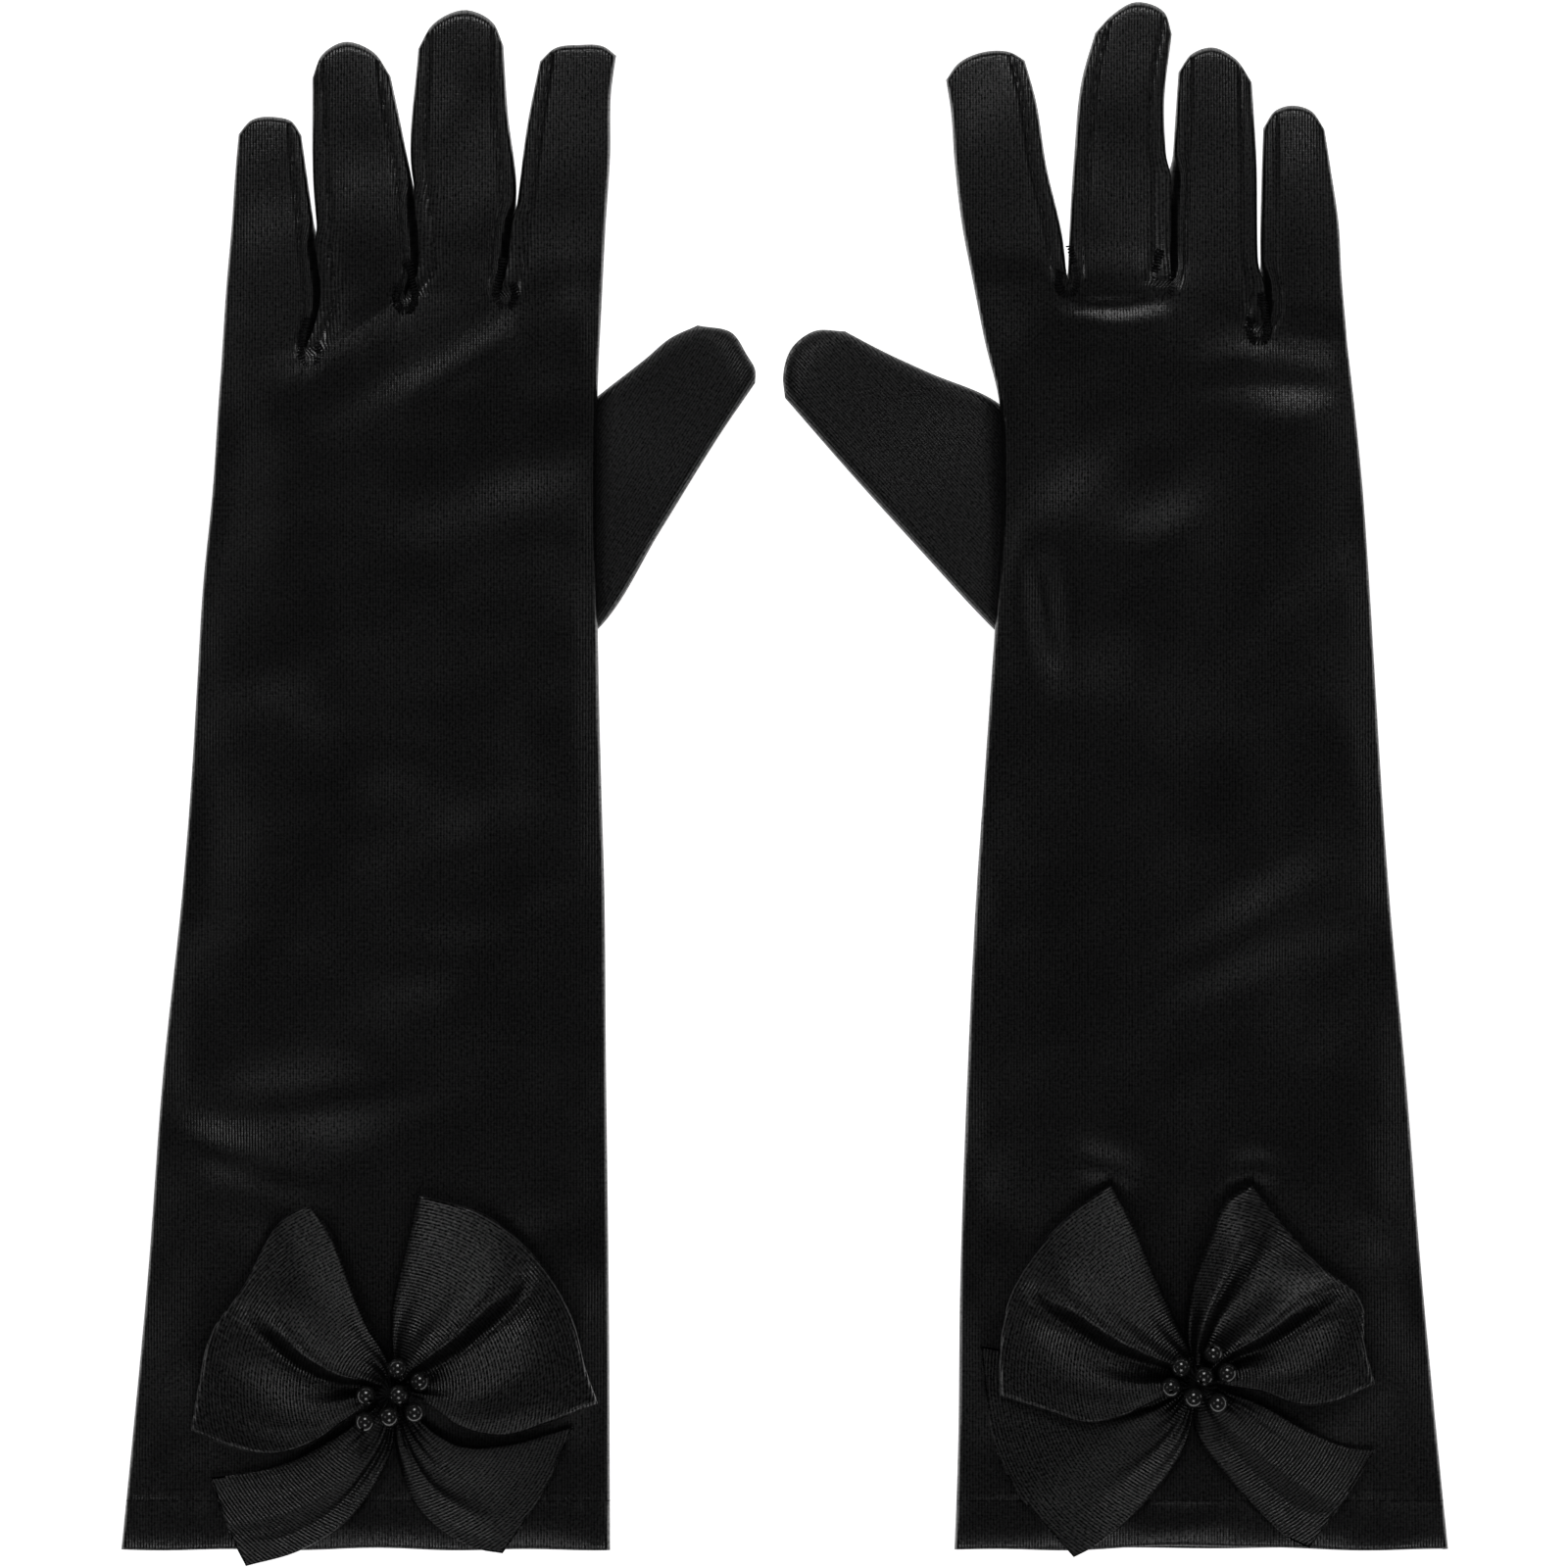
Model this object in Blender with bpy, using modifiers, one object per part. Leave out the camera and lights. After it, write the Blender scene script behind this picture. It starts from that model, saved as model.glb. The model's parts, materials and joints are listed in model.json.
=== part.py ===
"""A pair of opera gloves laid flat, backs up, with a beaded bow on each cuff.

X runs across the pair, Y from the cuffs to the fingertips, and Z up from the surface they lie on.
A glove is described from the middle of its own cuff, in millimetres: "across" is positive towards
its thumb, and "along" is positive towards its fingertips. The two gloves are mirrored from each
other, and each keeps its own outline, because soft cloth never lies the same way twice.
"""

import math

import bmesh
import bpy
from mathutils import Vector

MM = 0.001

# Driving dimensions, in millimetres.
CUFF_CENTRE_X = 85.1
CUFF_Y = -156.0
THICK = 8.0
CLOTH = 0.8
GAP = 0.3
SEAM_HALF = 0.45
WRIST = 172.0
TURN_RADIUS = THICK / 2
TURN_STEPS = 3
TIP_ANGLES = (0, 30, 55, 75, 86)
TIP_ROUNDING = 0.75
FORK_EDGE = CLOTH + GAP
FOURCHETTE_INSET = 0.4
LEAST_FOURCHETTE = 0.4
NEAR = 0.05

THUMB_THICK = 6.8
THUMB_HEIGHTS = (1.0, 1.0, 1.0, 0.94, 0.74, 0.3)
THUMB_EDGE_STRETCH = 1.3
ROOT_BLEND = 6.0
THUMB_POINTS = 12

BOW_SPOKES = 48
FEWEST_SPOKES = 4
BOW_RINGS = (0.0, 0.3, 0.65, 1.0)
BOW_HUB = 6.0
BOW_HUB_SLOPE = 5.0
BOW_PLEATS = 8
PLEAT_DEPTH = 0.45
SWELL_SPAN = 1.05
TAILS_BASE = THICK + 0.5
TAILS_PUFF = 1.2
STRIP_GAP = 0.8
LOOPS_BASE = TAILS_BASE + TAILS_PUFF + CLOTH + STRIP_GAP
LOOPS_PUFF = 4.5
GATHER_RADIUS = 5.0
GATHER_TOP = 0.8
GATHER_HEIGHT = 1.6
GATHER_LIFT = 1.0

BEAD_RADIUS = 2.0
BEAD_BORE = 0.45
BEAD_STEPS = 10
BEAD_RINGS = 6

COLOURS = {
    "satin": ((0.006, 0.006, 0.007, 1.0), 0.42),
    "bow_satin": ((0.009, 0.009, 0.010, 1.0), 0.38),
    "thread": ((0.004, 0.004, 0.004, 1.0), 0.60),
    "bead": ((0.003, 0.003, 0.003, 1.0), 0.08),
}

# Outline rows are (along, little finger's side, thumb's side). A finger is (along, side, side) at
# its base and at its shoulder, then the along of its tip. A thumb row is (across, near, far).
# A bow's lobes are (first angle, last angle, radius at each), counter-clockwise from +X.
LEFT = {
    "side": 1,
    "sleeve": (
        (0, -49.8, 49.8),
        (16, -48.2, 49.6),
        (56, -44.4, 49.6),
        (96, -41.4, 49.0),
        (136, -37.2, 48.6),
        (WRIST, -34.6, 47.5),
    ),
    "hand": ((WRIST, -34.6, 47.5), (216, -31.2, 47.4), (242.5, -29.4, 47.4), (254.5, -28.6, 48.1)),
    "forks": (-11.2, 8.2, 28.6),
    "fingers": {
        "little": ((242.5, -29.4, -11.4), (286.0, -26.4, -13.0), 291.8),
        "ring": ((248.5, -11.0, 8.0), (297.0, -11.0, 5.2), 307.2),
        "middle": ((254.5, 8.4, 28.4), (303.0, 10.4, 28.2), 313.6),
        "index": ((254.5, 28.8, 48.1), (300.0, 34.4, 50.6), 306.5),
    },
    "thumb_root": (188.2, 235.0),
    "thumb": (
        (47.8, 188.2, 235.0),
        (57.0, 202.8, 242.6),
        (66.0, 217.2, 249.0),
        (72.0, 227.0, 248.6),
        (77.0, 235.0, 244.5),
        (79.4, 238.2, 240.6),
    ),
    "bow_centre": (5.8, 32.8),
    "loops": ((112, 200, 41.0, 41.5), (-8, 84, 41.5, 40.0)),
    "tails": ((205, 250, 41.5, 30.0), (286, 347, 30.0, 37.4)),
    "tail_corners": ((230, 46.9), (303, 40.1)),
    "beads": ((1.4, -0.6), (1.2, 4.7), (5.7, 2.1), (4.6, -4.2), (-0.5, -5.1), (-5.4, -6.1), (-5.2, -0.8)),
}
RIGHT = {
    "side": -1,
    "sleeve": (
        (0, -50.3, 50.3),
        (16, -48.7, 49.7),
        (56, -44.9, 49.1),
        (96, -41.7, 47.7),
        (136, -38.1, 45.7),
        (WRIST, -35.7, 43.2),
    ),
    "hand": ((WRIST, -35.7, 43.2), (216, -32.9, 41.0), (247.5, -29.6, 43.4), (257.0, -28.7, 46.4)),
    "forks": (-11.5, 7.9, 27.3),
    "fingers": {
        "little": ((247.5, -29.6, -11.7), (288.0, -25.8, -12.5), 294.2),
        "ring": ((252.2, -11.3, 7.7), (297.0, -10.6, 5.2), 306.0),
        "middle": ((257.0, 8.1, 27.1), (305.0, 8.1, 24.4), 315.2),
        "index": ((257.0, 27.5, 46.4), (299.0, 34.4, 51.8), 305.3),
    },
    "thumb_root": (187.8, 234.2),
    "thumb": (
        (43.9, 187.8, 234.2),
        (55.0, 200.8, 239.6),
        (68.0, 215.0, 245.8),
        (76.0, 224.0, 248.7),
        (82.0, 230.9, 246.2),
        (85.4, 235.0, 238.4),
    ),
    "bow_centre": (0.9, 34.8),
    "loops": ((112, 188, 43.0, 40.5), (-3, 78, 36.0, 40.5)),
    "tails": ((196, 250, 43.4, 28.0), (284, 337, 26.0, 39.2)),
    "tail_corners": ((235, 44.1), (304, 41.3)),
    "beads": ((0.9, 1.1), (-3.7, 3.0), (2.8, 5.8), (5.6, 1.8), (-5.8, -1.1), (-1.2, -3.2), (3.7, -4.3)),
}
FINGERS = ("little", "ring", "middle", "index")


def clear_scene():
    for obj in list(bpy.data.objects):
        bpy.data.objects.remove(obj, do_unlink=True)


def new_collection(name):
    collection = bpy.data.collections.new(name)
    bpy.context.scene.collection.children.link(collection)
    return collection


def material(name):
    """The shared look of one kind of cloth, thread or bead."""
    found = bpy.data.materials.get(name)
    if found:
        return found
    made = bpy.data.materials.new(name)
    made.use_nodes = True
    colour, roughness = COLOURS[name]
    shader = made.node_tree.nodes["Principled BSDF"]
    shader.inputs["Base Color"].default_value = colour
    shader.inputs["Roughness"].default_value = roughness
    made.diffuse_color = colour
    return made


def place(glove, across, along, height):
    """A point of a glove, in metres in the pair's frame."""
    x = glove["side"] * (across - CUFF_CENTRE_X)
    return Vector((x, CUFF_Y + along, height)) * MM


def add_part(mesh, name, slot, pivot, collection):
    """Puts a finished mesh in the scene, held by the empty on its own joint."""
    mesh.materials.append(material(slot))
    part = bpy.data.objects.new(name, mesh)
    collection.objects.link(part)
    part.parent = pivot
    part.matrix_parent_inverse = pivot.matrix_world.inverted()
    return part


def surface(name, rows, mirrored, keep=None, ring=False):
    """An open surface through rows of equally many points. keep(row, column) leaves cells out."""
    shape = bmesh.new()
    grid = [[shape.verts.new(point) for point in row] for row in rows]
    columns = len(rows[0])
    for row in range(len(rows) - 1):
        for column in range(columns if ring else columns - 1):
            if keep and not keep(row, column):
                continue
            after = (column + 1) % columns
            corners = [grid[row][column], grid[row][after], grid[row + 1][after], grid[row + 1][column]]
            shape.faces.new(corners[::-1] if mirrored else corners)
    loose = [vertex for vertex in shape.verts if not vertex.link_faces]
    bmesh.ops.delete(shape, geom=loose, context="VERTS")
    mesh = bpy.data.meshes.new(name)
    shape.to_mesh(mesh)
    shape.free()
    return mesh


def thicken(part, even=True):
    """Gives an open surface its cloth thickness, on the inner side."""
    solidify = part.modifiers.new("cloth", "SOLIDIFY")
    solidify.thickness = CLOTH * MM
    solidify.offset = -1
    solidify.use_even_offset = even


def between(rows, along):
    """The two sides of an outline at one distance along it."""
    for low, high in zip(rows, rows[1:]):
        if low[0] <= along <= high[0]:
            share = (along - low[0]) / (high[0] - low[0])
            return [a + (b - a) * share for a, b in zip(low[1:], high[1:])]
    return list(rows[-1][1:])


def turned_side(side, inward, turn, rise):
    """Points from a panel's edge to its flat: (across, height over mid), curling down by turn."""
    points = []
    for step in range(TURN_STEPS + 1):
        angle = math.pi / 2 * step / TURN_STEPS
        drop = (1 - math.sin(angle)) * turn
        across = side + inward * TURN_RADIUS * (1 - math.cos(angle))
        points.append((across, SEAM_HALF + rise * (1 - drop)))
    return points


def panel_row(glove, along, sides, turns, rise, inner, back):
    """One row of a back or palm panel across a glove or finger, from the little finger's side."""
    section = turned_side(sides[0], 1, turns[0], rise)
    section += [(across, SEAM_HALF + rise) for across in inner]
    section += turned_side(sides[1], -1, turns[1], rise)[::-1]
    middle = THICK / 2
    sign = 1 if back else -1
    return [place(glove, across, along, middle + sign * height) for across, height in section]


def full_rise():
    return THICK / 2 - SEAM_HALF


def panel(glove, name, rows, back, pivot, collection, keep=None):
    flipped = (glove["side"] < 0) == back
    part = add_part(surface(name, rows, flipped, keep), name, "satin", pivot, collection)
    thicken(part)
    return part


def sleeve_panels(glove, label, pivot, collection):
    stations = list(glove["sleeve"])
    stations[-1] = (WRIST - GAP / 2,) + stations[-1][1:]
    for kind, back in (("back", True), ("palm", False)):
        rows = [panel_row(glove, s[0], s[1:], (1, 1), full_rise(), (), back) for s in stations]
        panel(glove, f"{label}_sleeve_{kind}", rows, back, pivot, collection)


def hand_panels(glove, label, pivot, collection):
    """The hand runs from the wrist to a step for each finger, open at the thumb's root."""
    low, high = glove["thumb_root"]
    bases = [glove["fingers"][finger][0][0] - GAP / 2 for finger in FINGERS]
    alongs = sorted({WRIST + GAP / 2, low - ROOT_BLEND, low, high - ROOT_BLEND, high, *bases})
    columns = TURN_STEPS + 1
    last_block = columns + len(glove["forks"])

    def keep(row, column):
        block = min(max(column - columns + 1, 0), last_block - columns)
        return alongs[row + 1] <= bases[block] + NEAR

    for kind, back in (("back", True), ("palm", False)):
        rows = []
        for along in alongs:
            turn = 0 if low <= along <= high - ROOT_BLEND else 1
            sides = between(glove["hand"], along)
            rows.append(panel_row(glove, along, sides, (1, turn), full_rise(), glove["forks"], back))
        panel(glove, f"{label}_hand_{kind}", rows, back, pivot, collection, keep)


def finger_rows(glove, finger):
    """(along, sides, share of the full height) from a finger's base to its closed tip."""
    base, shoulder, tip = glove["fingers"][finger]
    rows = [(base[0] + GAP / 2, base[1:], 1.0)]
    centre = (shoulder[1] + shoulder[2]) / 2
    half = (shoulder[2] - shoulder[1]) / 2
    for angle in TIP_ANGLES:
        wide = math.cos(math.radians(angle)) ** TIP_ROUNDING
        along = shoulder[0] + (tip - shoulder[0]) * math.sin(math.radians(angle))
        rows.append((along, (centre - half * wide, centre + half * wide), wide))
    return rows


def finger_panels(glove, label, finger, pivot, collection):
    turns = (1 if finger == "little" else 0, 1 if finger == "index" else 0)
    for kind, back in (("back", True), ("palm", False)):
        rows = []
        for along, sides, share in finger_rows(glove, finger):
            if sides[1] - sides[0] < 2 * TURN_RADIUS:
                rows.append(narrow_row(glove, along, sides, share, back))
                continue
            middle = ((sides[0] + sides[1]) / 2,)
            rows.append(panel_row(glove, along, sides, turns, full_rise() * share, middle, back))
        panel(glove, f"{label}_{finger}_{kind}", rows, back, pivot, collection)


def narrow_row(glove, along, sides, share, back):
    """The row at a fingertip, too narrow for turned sides: evenly spaced and level."""
    sign = 1 if back else -1
    height = THICK / 2 + sign * (SEAM_HALF + full_rise() * share)
    gaps = 2 * (TURN_STEPS + 1)
    steps = [sides[0] + (sides[1] - sides[0]) * i / gaps for i in range(gaps + 1)]
    return [place(glove, across, along, height) for across in steps]


def fourchettes(glove, label, pivots, collection):
    """The narrow gusset halves that stand on both sides of every fork, tapering to the fingertip."""
    for index in range(len(FINGERS) - 1):
        for finger, side, toward in ((FINGERS[index], 1, "thumb"), (FINGERS[index + 1], 0, "little")):
            rows = []
            for along, sides, share in finger_rows(glove, finger)[:-1]:
                reach = full_rise() * share + SEAM_HALF - FORK_EDGE - (1 - share)
                if reach < LEAST_FOURCHETTE:
                    break
                inset = 0.0 if share == 1.0 else FOURCHETTE_INSET
                across = sides[side] + (inset if side == 0 else -inset)
                heights = (THICK / 2 - reach, THICK / 2, THICK / 2 + reach)
                rows.append([place(glove, across, along, height) for height in heights])
            flipped = (glove["side"] > 0) == (side == 1)
            name = f"{label}_{finger}_fourchette_{toward}_side"
            mesh = surface(name, rows, flipped)
            thicken(add_part(mesh, name, "satin", pivots[finger], collection))


def thumb(glove, label, pivot, collection):
    """One folded piece: a flat pouch, open where it joins the hand and closed at the tip."""
    rings = []
    for (across, near, far), share in zip(glove["thumb"], THUMB_HEIGHTS):
        radius_z = THUMB_THICK / 2 * share
        radius_y = min(radius_z * THUMB_EDGE_STRETCH, (far - near) / 2)
        ring = []
        for step in range(THUMB_POINTS):
            angle = 2 * math.pi * (step + 0.5) / THUMB_POINTS
            reach = math.cos(angle)
            centre = far - radius_y if reach > 0 else near + radius_y
            along = centre + radius_y * reach
            ring.append(place(glove, across, along, THUMB_THICK / 2 + radius_z * math.sin(angle)))
        rings.append(ring)
    name = f"{label}_thumb"
    mesh = surface(name, rings, glove["side"] < 0, ring=True)
    shape = bmesh.new()
    shape.from_mesh(mesh)
    bmesh.ops.remove_doubles(shape, verts=shape.verts, dist=NEAR * MM)
    tip_x = rings[-1][0].x
    tip = [
        edge
        for edge in shape.edges
        if edge.is_boundary and all(abs(vertex.co.x - tip_x) < NEAR * MM for vertex in edge.verts)
    ]
    bmesh.ops.holes_fill(shape, edges=tip)
    bmesh.ops.recalc_face_normals(shape, faces=shape.faces)
    shape.to_mesh(mesh)
    shape.free()
    thicken(add_part(mesh, name, "satin", pivot, collection))


def lobe_radius(angle, lobes, corners):
    """How far a bow's strip reaches in one direction, in millimetres from the bow's middle."""
    for first, last, start, end in lobes:
        turned = (angle - first) % 360
        if turned <= (last - first):
            share = turned / (last - first)
            radius = start + (end - start) * share
            for corner, reach in corners:
                if 0 < (corner - first) % 360 < last - first:
                    near = (corner - first) % 360 / (last - first)
                    side = share / near if share < near else (1 - share) / (1 - near)
                    edge = start if share < near else end
                    radius = edge + (reach - edge) * side
            return radius
    return BOW_HUB


def bow_angles(lobes, corners):
    """Spokes through each lobe, with one pair close outside it where the strip falls to the hub."""
    angles = set()
    for first, last, _, _ in lobes:
        steps = max(FEWEST_SPOKES, round((last - first) / 360 * BOW_SPOKES))
        angles |= {(first + (last - first) * i / steps) % 360 for i in range(steps + 1)}
        angles |= {(first - BOW_HUB_SLOPE) % 360, (last + BOW_HUB_SLOPE) % 360}
    angles |= {corner % 360 for corner, _ in corners}
    return sorted(angles)


def bow_strip(glove, label, kind, base, puff, pivot, collection):
    """One strip of the bow: lobes that swell between the gathered middle and their outer edges."""
    lobes = glove[kind]
    corners = glove["tail_corners"] if kind == "tails" else ()
    centre = place(glove, *glove["bow_centre"], 0)
    rings = []
    angles = bow_angles(lobes, corners)
    for share in BOW_RINGS:
        ring = []
        for angle in angles:
            reach = lobe_radius(angle, lobes, corners)
            radius = BOW_HUB / 2 + (reach - BOW_HUB / 2) * share
            swell = math.sin(math.pi * min(1.0, share * SWELL_SPAN)) if reach > BOW_HUB else 0.0
            pleat = 1 - PLEAT_DEPTH * (0.5 + 0.5 * math.cos(math.radians(angle * BOW_PLEATS)))
            height = base + CLOTH + puff * swell * pleat
            x = radius * math.cos(math.radians(angle))
            y = radius * math.sin(math.radians(angle))
            ring.append(centre + Vector((x, y, height)) * MM)
        rings.append(ring)
    name = f"{label}_bow_{kind}"
    mesh = surface(name, rings, True, ring=True)
    shape = bmesh.new()
    shape.from_mesh(mesh)
    hub = [
        edge
        for edge in shape.edges
        if edge.is_boundary
        and all((vertex.co - centre).xy.length < (BOW_HUB / 2 + NEAR) * MM for vertex in edge.verts)
    ]
    bmesh.ops.holes_fill(shape, edges=hub)
    bmesh.ops.recalc_face_normals(shape, faces=shape.faces)
    if sum(face.normal.z for face in shape.faces) < 0:
        bmesh.ops.reverse_faces(shape, faces=shape.faces)
    shape.to_mesh(mesh)
    shape.free()
    thicken(add_part(mesh, name, "bow_satin", pivot, collection), even=False)


def bow_gather(glove, label, height, pivot, collection):
    """The flat bundle of thread that draws both strips together under the beads."""
    shape = bmesh.new()
    bmesh.ops.create_cone(
        shape,
        cap_ends=True,
        segments=16,
        radius1=GATHER_RADIUS * MM,
        radius2=GATHER_RADIUS * GATHER_TOP * MM,
        depth=GATHER_HEIGHT * MM,
    )
    middle = place(glove, *glove["bow_centre"], height + GATHER_HEIGHT / 2)
    bmesh.ops.translate(shape, verts=shape.verts, vec=middle)
    name = f"{label}_bow_gather"
    mesh = bpy.data.meshes.new(name)
    shape.to_mesh(mesh)
    shape.free()
    add_part(mesh, name, "thread", pivot, collection)


def bead_profile():
    """Down the outside of a bead and back up the wall of its thread hole."""
    limit = math.acos(BEAD_BORE / BEAD_RADIUS)
    points = []
    for step in range(BEAD_RINGS + 1):
        angle = limit - 2 * limit * step / BEAD_RINGS
        points.append((BEAD_RADIUS * math.cos(angle), BEAD_RADIUS * math.sin(angle)))
    return points


def beads(glove, label, height, pivot, collection):
    profile = bead_profile()
    centre = place(glove, *glove["bow_centre"], height + BEAD_RADIUS)
    for number, (x, y) in enumerate(glove["beads"], start=1):
        name = f"{label}_bead_{number}"
        mesh = bpy.data.meshes.new(name)
        points = [(r * MM, 0, z * MM) for r, z in profile]
        edges = [(i, (i + 1) % len(points)) for i in range(len(points))]
        mesh.from_pydata(points, edges, [])
        part = add_part(mesh, name, "bead", pivot, collection)
        part.location = centre + Vector((x, y, 0)) * MM
        screw = part.modifiers.new("turned", "SCREW")
        screw.steps = BEAD_STEPS
        screw.render_steps = BEAD_STEPS
        screw.use_merge_vertices = True
        screw.merge_threshold = NEAR / 5 * MM


def joint_empty(name, location, collection):
    empty = bpy.data.objects.new(name, None)
    empty.empty_display_size = 0.01
    empty.location = location
    collection.objects.link(empty)
    return empty


def build_glove(glove, label, collection):
    empties = {
        "sleeve": place(glove, 0, 0, 0),
        "hand": place(glove, 0, WRIST, THICK),
        "thumb": place(glove, glove["thumb"][0][0] - GAP, sum(glove["thumb_root"]) / 2, THICK),
    }
    for finger in FINGERS:
        base = glove["fingers"][finger][0]
        empties[finger] = place(glove, (base[1] + base[2]) / 2, base[0], THICK)
    pivots = {}
    for body, location in empties.items():
        pivots[body] = joint_empty(f"{label}_{body}_joint", location, collection)
    bpy.context.view_layer.update()

    sleeve_panels(glove, label, pivots["sleeve"], collection)
    hand_panels(glove, label, pivots["hand"], collection)
    for finger in FINGERS:
        finger_panels(glove, label, finger, pivots[finger], collection)
    fourchettes(glove, label, pivots, collection)
    thumb(glove, label, pivots["thumb"], collection)
    bow_strip(glove, label, "tails", TAILS_BASE, TAILS_PUFF, pivots["sleeve"], collection)
    bow_strip(glove, label, "loops", LOOPS_BASE, LOOPS_PUFF, pivots["sleeve"], collection)
    gather_base = LOOPS_BASE + CLOTH + GATHER_LIFT
    bow_gather(glove, label, gather_base, pivots["sleeve"], collection)
    beads(glove, label, gather_base + GATHER_HEIGHT + GAP, pivots["sleeve"], collection)


def main():
    clear_scene()
    collection = new_collection("opera_gloves")
    build_glove(LEFT, "left", collection)
    build_glove(RIGHT, "right", collection)


main()
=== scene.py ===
"""The looks of a pair of black satin opera gloves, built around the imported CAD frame."""

import json
import math

import bmesh
import bpy
import numpy as np
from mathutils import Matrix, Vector

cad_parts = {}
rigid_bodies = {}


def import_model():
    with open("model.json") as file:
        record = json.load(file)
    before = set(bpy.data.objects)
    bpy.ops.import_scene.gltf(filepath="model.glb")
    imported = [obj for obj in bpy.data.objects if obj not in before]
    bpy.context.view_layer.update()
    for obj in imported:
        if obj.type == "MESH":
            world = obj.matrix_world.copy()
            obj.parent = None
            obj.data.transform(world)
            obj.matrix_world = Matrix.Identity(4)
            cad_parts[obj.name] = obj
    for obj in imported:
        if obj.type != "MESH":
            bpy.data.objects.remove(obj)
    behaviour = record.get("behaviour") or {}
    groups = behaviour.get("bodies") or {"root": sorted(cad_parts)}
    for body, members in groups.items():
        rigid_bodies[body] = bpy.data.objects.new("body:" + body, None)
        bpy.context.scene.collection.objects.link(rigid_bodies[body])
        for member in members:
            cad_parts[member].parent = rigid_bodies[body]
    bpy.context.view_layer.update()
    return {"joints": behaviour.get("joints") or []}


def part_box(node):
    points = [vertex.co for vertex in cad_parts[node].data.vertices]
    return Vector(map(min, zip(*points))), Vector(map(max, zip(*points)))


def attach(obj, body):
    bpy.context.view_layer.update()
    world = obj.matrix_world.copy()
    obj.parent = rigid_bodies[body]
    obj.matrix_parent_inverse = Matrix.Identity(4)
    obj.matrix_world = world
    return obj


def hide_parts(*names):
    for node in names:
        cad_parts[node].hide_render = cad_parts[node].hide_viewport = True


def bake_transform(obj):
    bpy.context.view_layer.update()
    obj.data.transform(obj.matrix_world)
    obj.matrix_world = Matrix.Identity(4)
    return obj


MM = 0.001
FINGERS = ("little", "ring", "middle", "index")

# Cloth, in millimetres.
CLOTH = 0.45
HEM_CLOTH = 1.1
BOW_CLOTH = 0.4
HEM_DEPTH = 10.0

# The grids. A row has rounded sides of WALL_COLUMNS, and a block of columns for each finger.
WALL_COLUMNS = 7
BLOCK_COLUMNS = 20
SEAM_COLUMN = WALL_COLUMNS + 3
ROW_STEP = 1.4
FINGER_ROWS = 52
THUMB_ROWS, THUMB_COLUMNS = 44, 45
TIP_POINTS = 41
# Rows lie closer together at the cuff's edge and at the hem's stitch line.
HEM_ROWS = (
    0.0, 0.25, 0.6, 1.1, 1.8, 2.6, 3.6, 4.8, 6.0, 7.2, 8.2, 8.9, 9.4, 9.75, 10.0, 10.25, 10.6, 11.1,
    11.8, 12.8,
)

# The sleeve and hand, in millimetres.
HAND_START = 150.0
SLEEVE_EDGE = 0.9
SIDE_LEVEL = 0.46  # height of the outermost line of a side, as a share of the glove's
BACK_DROP = 1.5  # of the level back below the CAD's top, which leaves room for the folds
PILLOW, PILLOW_REACH = 0.9, 10.0  # fall of the back towards its sides, and how far in it starts
FLOOR_GAP = 0.06
ROOT_RISE = 2.5  # of the palm over the thumb's root
FORK_DENT, FORK_GATHER = 0.25, 0.08
FOLD_POINTS = 14
# The cloth's own unevenness: waves whose height grows with their length.
WAVES, WAVE_LENGTHS, WAVE_SLOPE = 16, (14, 52), 0.0029
# A rounded side, column by column: how far in it is and how high, as shares of its radius.
SIDE_ANGLES = np.pi / 2 * np.arange(WALL_COLUMNS) / WALL_COLUMNS
SIDE_IN, SIDE_UP = 1 - np.cos(SIDE_ANGLES), np.sin(SIDE_ANGLES)

# The fingers, in millimetres.
FINGER_EDGE = 0.8
WIDEST_EDGE = 0.42  # of a finger's width
SEAM_INSET, SEAM_HALF, SEAM_DEPTH = 3.0, 0.5, 0.6
FORK_OPENS, EDGE_EASES = 5.0, 14.0  # lengths over which a finger leaves its neighbour and the hand
HAND_SHARE = 0.35  # of a finger's length, in which its rows stop following the hand's last row
FINGER_DROP, FINGER_SLOPE = 1.8, 2.6
LEAN = -0.55

# The thumb, in millimetres. It is tucked under the hand's edge.
TUCK = 7.0
THUMB_HIGH, THUMB_ROOT_HIGH = 4.4, 2.1

# Distances in millimetres from each joint, given to bend() as its start and end.
WRIST_BEND = 15.0
FINGER_BEND = 20.0
THUMB_BEND = 13.0

# Rows of stitches, in millimetres: the first one's start, the last one's distance from the line's
# end, the step, and the places and heights of the thread in one stitch.
HEM_STITCHES = (1.0, 2.0, 2.4, (0, 0.35, 0.85, 1.35, 1.7), (-0.2, 0.08, 0.12, 0.08, -0.2))
SEAM_STITCHES = (4.0, 5.0, 1.9, (0, 0.3, 0.65, 1.0, 1.3), (-0.15, 0.1, 0.15, 0.1, -0.15))
# The wound thread's route round a fork.
OVERLOCK_ROUTE = (
    (0.5, 8.0), (1.5, 3.6), (1.9, 0.6), (0.9, -1.7), (-0.9, -1.7), (-1.9, 0.5), (-1.3, 3.2),
)
OVERLOCK_TURNS, OVERLOCK_POINTS, OVERLOCK_RADIUS = 27, 720, 0.8

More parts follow.
